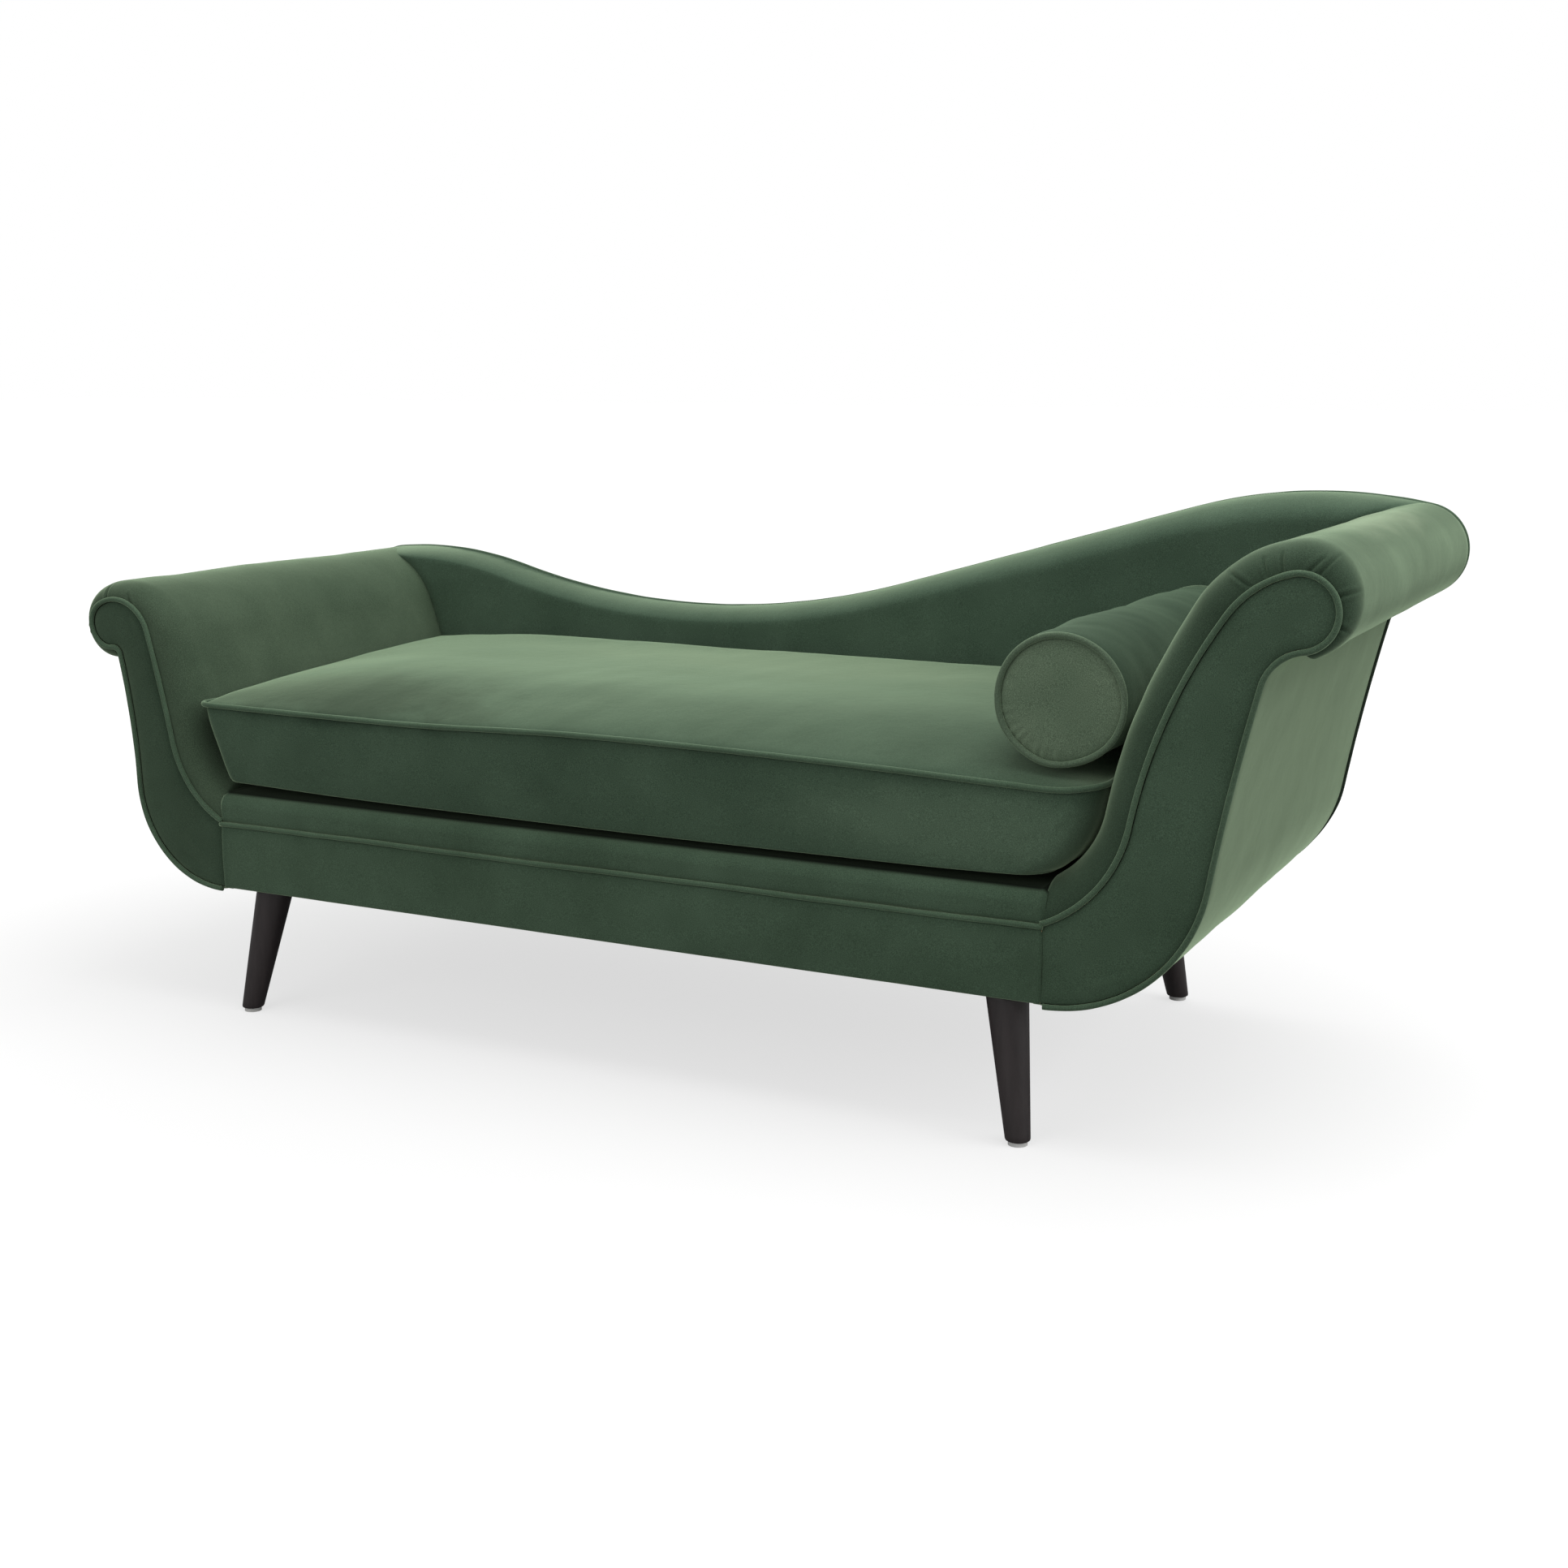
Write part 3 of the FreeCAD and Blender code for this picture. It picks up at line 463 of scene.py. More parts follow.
def tube_piece(name, path, radius, body, material, seed, closed=False, wobble=0.15):
    """A round cord along a path of points in millimetres, a little uneven as sewn welt is."""
    path = np.asarray(path, float)
    if closed:
        along = np.roll(path, -1, 0) - np.roll(path, 1, 0)
    else:
        along = np.gradient(path, axis=0)
    along /= np.linalg.norm(along, axis=1)[:, None]
    sizes = radius + lumps(path + MIDDLE, 45.0, wobble, seed)
    up = np.array([0.0, 1.0, 0.0])
    if abs(along[0] @ up) > 0.9:
        up = np.array([1.0, 0.0, 0.0])
    around = 12
    angles = np.linspace(0, 2 * math.pi, around, endpoint=False)[:, None]
    rings = []
    normal = up - along[0] * (along[0] @ up)
    for spot, ahead, size in zip(path, along, sizes):
        normal = normal - ahead * (ahead @ normal)
        normal /= np.linalg.norm(normal)
        rings.append(spot + size * (np.cos(angles) * normal + np.sin(angles) * np.cross(ahead, normal)))
    faces = ring_faces(len(rings), around, closed)
    return make_piece(name, np.vstack(rings), faces, body, material)


def bend_path(bends, offset, spacing):
    """Points along tangent bends, moved to the left of travel."""
    points = []
    for k, bend in enumerate(bends):
        count = max(3, int(bend.length(offset) / spacing))
        for t in np.linspace(0, 1, count + 1)[(1 if k else 0):]:
            points.append(bend.at(t, offset))
    return np.array(points)


def segment_distance(points, a, b):
    a, b = np.array(a), np.array(b)
    d = b - a
    t = within(((points - a) @ d) / (d @ d))
    return np.linalg.norm(points - (a + t[..., None] * d), axis=-1), t


def crease(points, a, b, width):
    """1 along the middle of a line from a to b, and soon 0 beside it and beyond its ends."""
    gap, t = segment_distance(points, a, b)
    return bell(gap, width) * np.sin(np.clip(t, 0.02, 0.98) * math.pi)


# Arms
# Each pleat runs from one (x, z) to another on an arm's front, seen from the middle outwards.
PLEATS = {
    "head": [
        ((852, 728), (881, 714)), ((914, 752), (918, 728)), ((944, 731), (961, 749)),
        ((955, 727), (975, 751)), ((978, 706), (1000, 713)), ((974, 677), (992, 668)),
        ((893, 744), (899, 727)),
    ],
    "foot": [
        ((808, 621), (798, 600)), ((793, 579), (773, 566)), ((895, 565), (873, 566)),
        ((850, 632), (848, 607)),
    ],
}
ARM_VELVET = {"head": VELVET_HEAD, "foot": VELVET_FOOT}
FACING_VELVET = {"head": VELVET_MAIN, "foot": VELVET_FOOT_FACING}


def arm_columns(arm):
    """Pairs of points: one beside the facing's welt, and one on the face of the padding."""
    low = arm.padded[0]
    radius = low.radius - VELVET
    start = -math.acos((HALF_RAIL + 1.0 - low.centre[0]) / radius)
    first_near, first_far = arm.inner[0].at(0.0, BESIDE_WELT), polar(low.centre, radius, start)
    pairs = [(first_near, first_near + (first_far - first_near) * (0.02 + 0.14 * k)) for k in range(7)]
    for k, (inner, padded) in enumerate(zip(arm.inner, arm.padded)):
        count = int(padded.length(VELVET) / (5.0 if k < 2 else 1.7))
        for t in np.linspace(0, 1, count + 1)[(1 if k else 0):]:
            far = padded.at(t, VELVET) if k else polar(low.centre, radius, start + (low.end - start) * t)
            pairs.append((inner.at(t, BESIDE_WELT), far))
    last_near, last_far = pairs[-1]
    for t in np.linspace(0, 1, 8)[1:]:
        pairs.append((last_near, last_far + (last_near - last_far) * t * 0.98))
    return np.array(pairs).transpose(1, 0, 2)


def arm_padding(arm):
    """The velvet over an arm: rounded at the front, then straight, and fuller under the roll."""
    near, far = arm_columns(arm)
    thick = np.linalg.norm(far - near, axis=1)[:, None]
    outward = (far - near) / thick
    turned = far - np.array(arm.roll_centre)
    on_roll = np.linalg.norm(turned, axis=1) < arm.roll_radius + VELVET + 1.0
    under = within(-turned[:, 1] / arm.roll_radius) * on_roll * within(thick[:, 0] / 4.0)
    hang = arm.hang * under[:, None] * outward
    y_front = FRONT + 5.0
    straight_from = y_front + np.minimum(6.0 + thick * 1.05, 48.0)
    angles = np.linspace(0, math.pi / 2, 20)
    sines, cosines = np.sin(angles), np.cos(angles)
    steps = np.linspace(0, 1, 46)[1:]
    rounded_y = y_front + (straight_from - y_front) * (1 - cosines)
    straight_y = straight_from + (REAR - straight_from) * steps
    tuck = np.minimum(2.5 * np.maximum(1 - (REAR - straight_y) / 6.0, 0.0) ** 2, thick * 0.5)
    left_over = 0.4 + 0.6 * bell(straight_y - straight_from, 45.0)
    rounded = near[:, None] + (far + hang - near)[:, None] * (sines ** 0.85)[:, None]
    straight = far[:, None] - outward[:, None] * tuck[..., None] + hang[:, None] * left_over[..., None]
    spots = np.concatenate([rounded, straight], 1)
    y = np.concatenate([rounded_y, straight_y], 1)
    points = at_depth(spots, y)
    facing_out = np.concatenate([sines, np.ones(len(steps))])[:, None]
    facing_front = np.concatenate([-cosines, np.zeros(len(steps))])
    weight = within(thick / 20.0) * within((y - y_front) / 25.0)
    shift = (lumps(points, 170.0, 1.0, 11 if arm.side > 0 else 12) + lumps(points, 60.0, 0.35, 13)) * weight
    front_fade = within(1 - (y - y_front) / 44.0) ** 0.7
    for a, b in PLEATS[arm.name]:
        gap, t = segment_distance(spots, a, b)
        fade = within(np.minimum(t, 1 - t) * 5.0) * 0.5 + 0.5
        shift += (0.9 * bell(gap - 4.5, 3.0) - 2.6 * bell(gap, 1.7)) * front_fade * fade
    points[..., [0, 2]] += outward[:, None] * facing_out * shift[..., None]
    points[..., 1] += facing_front * shift
    points[..., 0] *= arm.side
    material = ARM_VELVET[arm.name]
    piece = grid_piece(arm.name + "_arm_upholstery", points, "frame", material, flip=arm.side > 0)
    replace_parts(piece, arm.name + "_arm_cover", arm.name + "_arm_pad")


def inside_of(spots, outline):
    """Which points lie within a closed outline."""
    inside = np.zeros(len(spots), bool)
    for (x0, z0), (x1, z1) in zip(outline, np.roll(outline, -1, 0)):
        crosses = (z0 > spots[:, 1]) != (z1 > spots[:, 1])
        if z1 != z0:
            inside ^= crosses & (spots[:, 0] < (x1 - x0) * (spots[:, 1] - z0) / (z1 - z0) + x0)
    return inside


def outline_gap(spots, outline, closed=True):
    """The distance from each point to the nearest part of a line."""
    ends = np.roll(outline, -1, 0) if closed else outline[1:]
    gap = np.full(len(spots), 1e9)
    for a, b in zip(outline, ends):
        if not np.allclose(a, b):
            gap = np.minimum(gap, segment_distance(spots, a, b)[0])
    return gap


def staggered(low, high, spacing):
    xs = np.arange(low[0] + spacing / 2, high[0], spacing)
    zs = np.arange(low[1] + spacing / 2, high[1], spacing * 0.87)
    gx, gz = np.meshgrid(xs, zs)
    rows = np.broadcast_to(np.arange(len(zs))[:, None], gx.shape).ravel()
    return np.stack([gx.ravel() + (rows % 2) * spacing / 2, gz.ravel()], 1)


def filled(outline, spots):
    """Triangles over an outline and the points within it: vertices and faces."""
    count = len(outline)
    flat = [Vector(p) for p in np.vstack([outline, spots])]
    edges = [(k, (k + 1) % count) for k in range(count)]
    verts, _, faces, _, _, _ = delaunay_2d_cdt(flat, edges, [], 1, 1e-4)
    return np.array([tuple(v) for v in verts]), [tuple(face) for face in faces]


def faced(points, faces, facing):
    """Turns every face so that it looks along y in the given sense."""
    turned = []
    for face in faces:
        a, b, c = (points[i] for i in face[:3])
        up = np.cross(b - a, c - a)[1]
        turned.append(face if up * facing > 0 else face[::-1])
    return turned


def cloud_piece(name, outline, y, puff, reach, spacing, material, facing, noise, seed, folds=()):
    """A flat panel within an outline of (x, z), puffed up away from its edge.

    A fold is a soft ridge or dent: where it starts and ends, how far it rises and how wide it is.
    """
    outline = np.asarray(outline)
    spots = staggered(outline.min(0), outline.max(0), spacing)
    spots = spots[inside_of(spots, outline)]
    spots = spots[outline_gap(spots, outline) > spacing * 0.45]
    verts, faces = filled(outline, spots)
    depth = outline_gap(verts, outline)
    rise = puff * (1 - np.exp(-depth / reach))
    solid = at_depth(verts, 0.0)
    rise += lumps(solid + MIDDLE, 90.0, noise, seed) * within(depth / 15.0)
    for a, b, rise_by, width in folds:
        rise += rise_by * crease(verts, a, b, width) * within(depth / 6.0)
    solid[:, 1] = y + facing * rise
    return make_piece(name, solid, faced(solid, faces, facing), "frame", material)


FACING_FOLDS = {
    "head": [
        ((752, 240), (700, 214), 1.0, 5.0), ((858, 640), (884, 672), -0.9, 5.0),
        ((700, 330), (690, 250), 0.8, 7.0),
    ],
    "foot": [
        ((740, 222), (690, 206), 1.3, 3.5), ((728, 240), (676, 214), -1.2, 3.5),
        ((716, 262), (668, 232), 0.9, 4.0), ((790, 560), (812, 600), -0.8, 5.0),
    ],
}


def arm_facing(arm):
    outline = np.vstack([
        bend_path(arm.inner, -0.6, 5.0), bend_path(arm.outer, -0.6, 5.0)[1:],
        [(HALF_RAIL - 0.6, z) for z in np.linspace(RAIL_BOTTOM - 1.6, SEAM - 4, 18)],
    ])
    outline[:, 0] *= arm.side
    folds = []
    for (x0, z0), (x1, z1), *form in FACING_FOLDS[arm.name]:
        folds.append(((arm.side * x0, z0), (arm.side * x1, z1), *form))
    name, material = arm.name + "_facing", FACING_VELVET[arm.name]
    piece = cloud_piece(name, outline, FRONT + 4.6, 3.6, 8.0, 4.0, material, -1, 0.35, 21, folds)
    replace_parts(piece, arm.name + "_front_facing")


def arm_welt(arm):
    path = np.vstack([bend_path(arm.inner, WELT_OFFSET, 3.0), bend_path(arm.outer, WELT_OFFSET, 3.0)[1:]])
    path[:, 0] *= arm.side
    points = at_depth(path, FRONT + 2.0)
    piece = tube_piece(arm.name + "_welt", points, WELT + 0.5, "frame", VELVET_WELT, seed=31)
    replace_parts(piece, arm.name + "_facing_welt")


SIDE_FRONT, SIDE_REAR = -358.5, 355.6


def arm_side(arm):
    """The outer side: from under the roll, down the flank and round the hull to the rail."""
    spots, headings = [], []
    for k, bend in enumerate(arm.outer):
        count = max(8, int(bend.length() / 6.0))
        for t in np.linspace(0.04 if k == 0 else 0, 1, count + 1)[(1 if k else 0):]:
            spots.append(bend.at(t))
            headings.append(bend.heading(t))
    end = spots[-1]
    for step in (6.0, 14.0):
        spots.append(end + np.array([-step, 1.2]))
        headings.append(headings[-1])
    outward = np.stack([-np.sin(headings), np.cos(headings)], 1)
    front_rows = [-360.0, SIDE_FRONT, -357.8, -356.5, -354.0, -349.5]
    ys = np.concatenate([front_rows, np.linspace(-342, 342, 58), [349.0, 353.0, 355.3]])
    near = np.maximum(np.minimum(ys - SIDE_FRONT, SIDE_REAR - ys), 0.0)
    puff = 4.0 * (1 - np.exp(-near / 3.0)) + 1.2 * (1 - np.exp(-near / 40.0))
    offset = 1.6 + puff * (1 - 0.85 * within((ys - SIDE_FRONT) / 640.0))
    points = at_depth(np.array(spots)[:, None] + outward[:, None] * offset[:, None], ys)
    shift = (lumps(points, 150.0, 0.6, 41) + lumps(points, 50.0, 0.25, 42)) * within(near / 30.0)
    points[..., [0, 2]] += outward[:, None] * shift[..., None]
    points[..., 0] *= arm.side
    piece = grid_piece(arm.name + "_outer_side", points, "frame", VELVET_SIDE_LIT, flip=arm.side < 0)
    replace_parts(piece, arm.name + "_side_panel")


for arm in (HEAD, FOOT):
    arm_padding(arm)
    arm_facing(arm)
    arm_welt(arm)
    arm_side(arm)


# Back
LIFT, DIP, CLIMB, FALL = (math.radians(v) for v in (5.5, 15.8, 16.1, 11.1))
WAVE_FOOT, WAVE_HEAD = 710.0, 724.0
FOOT_TOP, HEAD_TOP = math.pi / 2 - LIFT, math.pi / 2 - FALL


def over_roll(arm, offset, angle):
    """Round the roll from its inner end, and back over the crest up to an angle, as (x, z)."""
    crest, roll = arm.padded[2], arm.padded[3]
    points = arc(roll.centre, roll.radius + offset, roll.end, min(roll.start, angle), 46)
    if angle > roll.start:
        points += arc(crest.centre, crest.radius + offset, roll.start, angle, 10)[1:]
    return np.array(points) * np.array([arm.side, 1])


def wave_points(offset, spacing):
    """The back's top edge, from the foot roll to the head roll, moved up by offset."""
    start = over_roll(FOOT, VELVET, FOOT_TOP)[-1]
    end = over_roll(HEAD, VELVET, HEAD_TOP)[-1]
    first = bend_on(start, LIFT, WAVE_FOOT, -math.degrees(LIFT + DIP))
    crest_step = bend_on((0, 0), CLIMB, WAVE_HEAD, -math.degrees(CLIMB + FALL)).at(1.0)
    left = end - crest_step - first.at(1.0)
    unit = bend_on((0, 0), -DIP, 1.0, math.degrees(DIP + CLIMB)).at(1.0)
    climb = np.array([math.cos(CLIMB), math.sin(CLIMB)])
    dip_radius, length = np.linalg.solve(np.array([unit, climb]).T, left)
    valley = bend_on(first.at(1.0), -DIP, dip_radius, math.degrees(DIP + CLIMB))
    slope_end = valley.at(1.0) + climb * length
    crest = bend_on(slope_end, CLIMB, WAVE_HEAD, -math.degrees(CLIMB + FALL))
    steps = np.linspace(0, 1, int(length / spacing))[1:-1, None]
    slope = valley.at(1.0, offset) + climb * length * steps
    low_part = bend_path([first, valley], offset, spacing)
    return np.vstack([low_part, slope, bend_path([crest], offset, spacing)])


WAVE = wave_points(0.0, 4.0)


def arm_edge(arm, offset, top_angle, low):
    """The face of an arm's padding from a height up to the end of the back's wave, as (x, z)."""
    first = arm.padded[0]
    path = arc(first.centre, first.radius - offset, first.start, first.end, 40)
    for bend in arm.padded[1:]:
        end = max(bend.end, top_angle)
        if bend.start > end:
            count = max(3, int((bend.start - end) * bend.radius / 5.0))
            path += arc(bend.centre, bend.radius + offset, bend.start, end, count + 1)[1:]
    path = np.array([p for p in path if p[1] > low])
    path = np.vstack([[(arm.face_x(low, offset), low)], path])
    path[:, 0] *= arm.side
    return path


ROUND_DEPTH = REAR - BACK_FACE - 0.5


def round_height(x):
    """How far below the wave the back's top starts to turn over: least at the foot end."""
    return smooth_curve((-860.0, -600.0, -100.0, 400.0, 960.0), (13.0, 17.0, 26.0, 38.0, 42.0), x)


def wave_height(x):
    return np.interp(x, WAVE[:, 0], WAVE[:, 1])


def inside_back():
    """The padded back: its face, its top rounded over to the rear, and a tuck beside each arm."""
    low = DECK_TOP - 4.0
    foot_edge = arm_edge(FOOT, VELVET, FOOT_TOP, low)
    head_edge = arm_edge(HEAD, VELVET, HEAD_TOP, low)
    left = arm_edge(FOOT, VELVET - 5.0, FOOT_TOP, low)
    right = arm_edge(HEAD, VELVET - 5.0, HEAD_TOP, low)
    bottom = np.stack([np.linspace(left[0, 0], right[0, 0], 180)[1:-1], np.full(178, low)], 1)
    outline = np.vstack([left, WAVE, right[::-1], bottom[::-1]])
    spots = staggered(outline.min(0), outline.max(0), 9.0)
    spots = [spots[wave_height(spots[:, 0]) - spots[:, 1] > round_height(spots[:, 0]) - 2.0]]
    for angle in np.linspace(math.pi / 2, 0.0, 17)[1:-1]:
        drop = round_height(WAVE[:, 0]) * (1 - math.sin(angle))
        spots.append(np.stack([WAVE[:, 0], WAVE[:, 1] - drop], 1))
    spots = np.vstack(spots)
    spots = spots[inside_of(spots, outline)]
    spots = spots[np.minimum(outline_gap(spots, left, False), outline_gap(spots, right, False)) > 2.0]
    verts, faces = filled(outline, spots)
    x, z = verts[:, 0], verts[:, 1]
    height = round_height(x)
    below = np.clip(wave_height(x) - z, 0, height)
    turn = np.sqrt(within(1 - (1 - below / height) ** 2))
    gap = np.minimum(outline_gap(verts, foot_edge, False), outline_gap(verts, head_edge, False))
    gap *= inside_of(verts, np.vstack([foot_edge, WAVE, head_edge[::-1]]))
    depth = ROUND_DEPTH * (1 - turn)
    depth -= 15.0 * bell(x + 770.0, 110.0) * within((z - 480.0) / 110.0) * turn
    depth += 4.5 * (1 - within(gap / 9.0)) ** 2
    depth += 7.0 * (1 - within(gap / 26.0)) ** 2.2 * within(x / 200.0)
    points = at_depth(verts, BACK_FACE + np.minimum(depth, ROUND_DEPTH))
    faded = within(gap / 30.0) * within((REAR - points[:, 1]) / 30.0)
    points[:, 1] -= (lumps(points, 190.0, 1.4, 51) + lumps(points, 70.0, 0.4, 52)) * faded
    points[:, 2] += 1.2 * within(1 - below / 12.0) * within(gap / 20.0)
    rim = below < 0.02
    points[rim] += np.array([0.0, 2.0, -3.0])
    piece = make_piece("inside_back", points, faced(points, faces, -1), "frame", VELVET_BACK)
    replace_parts(piece, "inside_back_cover", "back_pad")


def rear_edge(offset, spacing=4.0):
    """Round the foot roll, along the wave and round the head roll, seen from the front."""
    foot_part = over_roll(FOOT, VELVET + offset, FOOT_TOP)[:-1]
    head_part = over_roll(HEAD, VELVET + offset, HEAD_TOP)[:-1]
    return np.vstack([foot_part, wave_points(offset, spacing), head_part[::-1]])


def back_welt():
    path = rear_edge(-1.9)
    piece = tube_piece("rear_welt", at_depth(path, 358.0), WELT, "frame", VELVET_WELT, seed=61)
    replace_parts(piece, "back_welt")


def rear_rim(arm):
    """The turned edge of the outside back, along the arm's outer side; low down it thins out. Its near-black
    velvet is painted shade.
    """
    path = bend_path(arm.outer, 1.4, 5.0)
    path = path[path[:, 1] > 262.0]
    path[:, 0] *= arm.side
    thick = 0.6 + 3.8 * within((path[:, 1] - 262.0) / 70.0)
    tube_piece("rear_rim_" + arm.name, at_depth(path, 356.6), thick, "frame", VELVET_RIM_SHADE, seed=64, wobble=0.1)


def outside_back():
    top = rear_edge(-3.4, 9.0)
    head_side = bend_path(HEAD.outer, 2.4, 9.0)[1:]
    foot_side = bend_path(FOOT.outer, 2.4, 9.0)[1:][::-1] * np.array([-1, 1])
    bottom = [(x, RAIL_BOTTOM - 1.0) for x in np.linspace(HALF_RAIL - 4, -HALF_RAIL + 4, 120)]
    outline = np.vstack([top, head_side, bottom, foot_side])
    piece = cloud_piece("outside_back", outline, 357.2, 4.4, 16.0, 13.0, VELVET_BACK, 1, 0.7, 71)
    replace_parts(piece, "outside_back_panel")


inside_back()
back_welt()
outside_back()
for arm in (HEAD, FOOT):
    rear_rim(arm)


# Front of the seat frame
def end_seam(xs):
    """How far in each place lies from a panel's nearer end, and how far its face stands back there."""
    gap = np.maximum(PANEL_END - np.abs(xs), 0.0)
    return gap, 3.4 * np.exp(-gap / 1.6) - 1.8 * bell(gap - 4.5, 2.6)


def drawn_out(profile, half_length):
    """A profile of (y, z) drawn out along the rail, in steps that get shorter towards both ends."""
    t = np.linspace(-1, 1, 190)
    xs = half_length * np.sign(t) * (1 - (1 - np.abs(t)) ** 1.35)
    return xs, np.stack(np.broadcast_arrays(xs[:, None], *np.array(profile).T), -1)


def rail_front():
    profile = [(-336.0, 190.6), (-346.0, 190.3), (-352.0, 190.1)]
    profile += arc((-356.4, 194.3), 4.2, 1.5 * math.pi, math.pi, 7)
    for z in np.linspace(203, 276, 18):
        profile.append((-360.6 - 1.2 * math.sin(math.pi * (z - 197) / 84), z))
    profile += arc((-355.6, 281.0), 5.0, math.pi, math.pi / 2, 6)
    profile += [(-353.6, 287.6), (-351.0, 290.0), (-346.0, 292.0)]
    xs, points = drawn_out(profile, PANEL_END)
    points[..., 1] += end_seam(xs)[1][:, None]
    fade = within((-352.0 - points[..., 1]) / 7.0)
    points[..., 1] -= (lumps(points, 130.0, 0.5, 81) + lumps(points, 40.0, 0.15, 82)) * fade
    piece = grid_piece("rail_upholstery", points, "frame", VELVET_MAIN)
    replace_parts(piece, "front_rail_cover")


# Each pucker or crease: where it starts and ends, as (x, z), and how deep it is.
DECK_PUCKERS = [
    ((644, 332), (622, 318), 2.0), ((644, 322), (628, 311), 1.4), ((-644, 330), (-624, 318), 1.2),
]
DECK_EDGE = -338.0


def deck():
    """A rounded front edge and a flat top, with closed ends beside the arms."""
    profile = [
        (-345.0, 288.6), (-350.0, 288.8), (-354.0, 289.6), (-357.6, 291.4), (-359.8, 294.0), (-360.6, 297.0),
        (-360.9, 304.0), (-360.7, 312.0),
    ]
    for angle in np.linspace(math.pi, math.pi / 2, 14):
        profile.append((DECK_EDGE + 22.7 * math.cos(angle), DECK_TOP - 21.0 + 20.6 * math.sin(angle)))
    for y in (*np.linspace(-333, -250, 14), *np.linspace(-220, 336, 14)):
        profile.append((y, DECK_TOP))
    xs, points = drawn_out(profile, HALF_RAIL + 2.6)
    gap, seam = end_seam(xs)
    seam = (seam + 1.4 * np.exp(-gap / 7.0))[:, None]
    front = within((DECK_EDGE - points[..., 1]) / 14.0)
    points[..., 1] += seam * front
    points[..., 2] -= seam * (1 - front)
    front_fade = within((-345.0 - points[..., 1]) / 10.0)
    points[..., 1] -= lumps(points, 120.0, 0.5, 91) * front_fade
    for a, b, depth in DECK_PUCKERS:
        points[..., 1] += depth * crease(points[..., [0, 2]], a, b, 3.0) * front_fade
    points[..., 2] += np.minimum(lumps(points, 160.0, 0.5, 92), 0.0) * (1 - front_fade)
    n, m = points.shape[:2]
    faces = grid_faces(n, m)
    faces.append(tuple(range(m)))
    faces.append(tuple((n - 1) * m + j for j in range(m))[::-1])
    piece = make_piece("deck_upholstery", points.reshape(-1, 3), faces, "frame", VELVET_DECK)
    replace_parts(piece, "deck_cover", "deck_foam")


def deck_welt():
    xs = np.linspace(-HALF_RAIL - 1.0, HALF_RAIL + 1.0, 260)
    z = 288.6 + 0.5 * np.sin(xs / 90.0) + 0.25 * np.sin(xs / 31.0 + 1.0)
    path = np.stack([xs, np.full(len(xs), -360.9), z], 1)
    piece = tube_piece("deck_seam_welt", path, WELT + 0.3, "frame", VELVET_WELT, seed=95)
    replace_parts(piece, "deck_welt")


rail_front()
deck()
deck_welt()


# Seat cushion
CUSHION_FRONT, CUSHION_BACK = -352.0, 274.6
CUSHION_BOTTOM, CUSHION_EDGE = 335.2, 459.7
SIDE_POINTS, END_POINTS, CORNER_POINTS = 190, 88, 14
BOLSTER_RADIUS = 83.0
BOLSTER_Y = (-323.9, 270.1)
bolster_low, bolster_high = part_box("bolster_cover")
BOLSTER_X = (bolster_low.x + bolster_high.x) / 2 / MM - MIDDLE[0]
BOLSTER_Z = (bolster_low.z + bolster_high.z) / 2 / MM


def cushion_loop(z, inset):
    """One closed loop in plan: front, right, back, left. Its ends lean outwards with height."""
    level = min(max(z, 345.0), CUSHION_EDGE)
    x0 = -(639.0 + 42.0 * (level - 350.0) / 110.0) + inset
    x1 = HEAD.face_x(level, VELVET + 6.5) - inset
    y0, y1 = CUSHION_FRONT + inset, CUSHION_BACK - inset
    left, right = max(20.0 - inset * 0.4, 4.0), max(42.0 - inset * 0.6, 4.0)
    corners = [
        (x1 - right, y0 + right, right), (x1 - left, y1 - left, left),
        (x0 + left, y1 - left, left), (x0 + left, y0 + left, left),
    ]
    last = (x0 + left, y0)
    parts = []
    for k, (x, y, radius) in enumerate(corners):
        corner = Bend((x, y), radius, (k - 1) * math.pi / 2, k * math.pi / 2)
        count = END_POINTS if k % 2 else SIDE_POINTS
        parts.append(np.linspace(last, corner.at(0.0), count, endpoint=False))
        parts.append([corner.at(t) for t in np.linspace(0, 1, CORNER_POINTS, endpoint=False)])
        last = corner.at(1.0)
    return np.vstack(parts)


LEFT_EDGE_DEPTHS = (-352.0, -328.0, -294.0, -242.0, -202.0, -60.0, 44.0, 153.0, 275.0)
LEFT_EDGE_RISES = (0.0, 3.5, 8.0, 11.0, 12.5, 19.5, 25.5, 30.0, 32.0)
SWELL = 46.0


def crown(x, y):
    """How far the top swells above its welt; the bolster presses it down."""
    x0, x1 = -680.0, 698.0
    front = 1 - (1 - within((y - CUSHION_FRONT) / 250.0)) ** 2.2
    rear = np.sqrt(1 - (1 - within((CUSHION_BACK - y) / 46.0)) ** 2)
    inward = 1 - (1 - within((x - x0) / 260.0)) ** 2.0
    right = 1 - (1 - within((x1 - x) / 110.0)) ** 2.0
    held = smooth_curve(LEFT_EDGE_DEPTHS, LEFT_EDGE_RISES, y)
    left = within((x - x0) / 9.0) ** 0.6 * held * rear * (1 - inward) + SWELL * front * rear * inward
    swell = np.where(x < 0, left, SWELL * front * rear * right)
    beside = np.abs(x - BOLSTER_X)
    under = BOLSTER_Z - np.sqrt(np.clip((BOLSTER_RADIUS + 1.0) ** 2 - beside ** 2, 0, None)) - CUSHION_EDGE
    pressed = np.minimum(swell, under - 0.4)
    share = within((beside - BOLSTER_RADIUS * 0.55) / 150.0)
    share = share * share * (3 - 2 * share)
    level = np.minimum(pressed * (1 - share) + swell * share, swell)
    by_bolster = (beside < BOLSTER_RADIUS + 150.0) & (y > BOLSTER_Y[0] - 40)
    return np.where(by_bolster, level, swell)


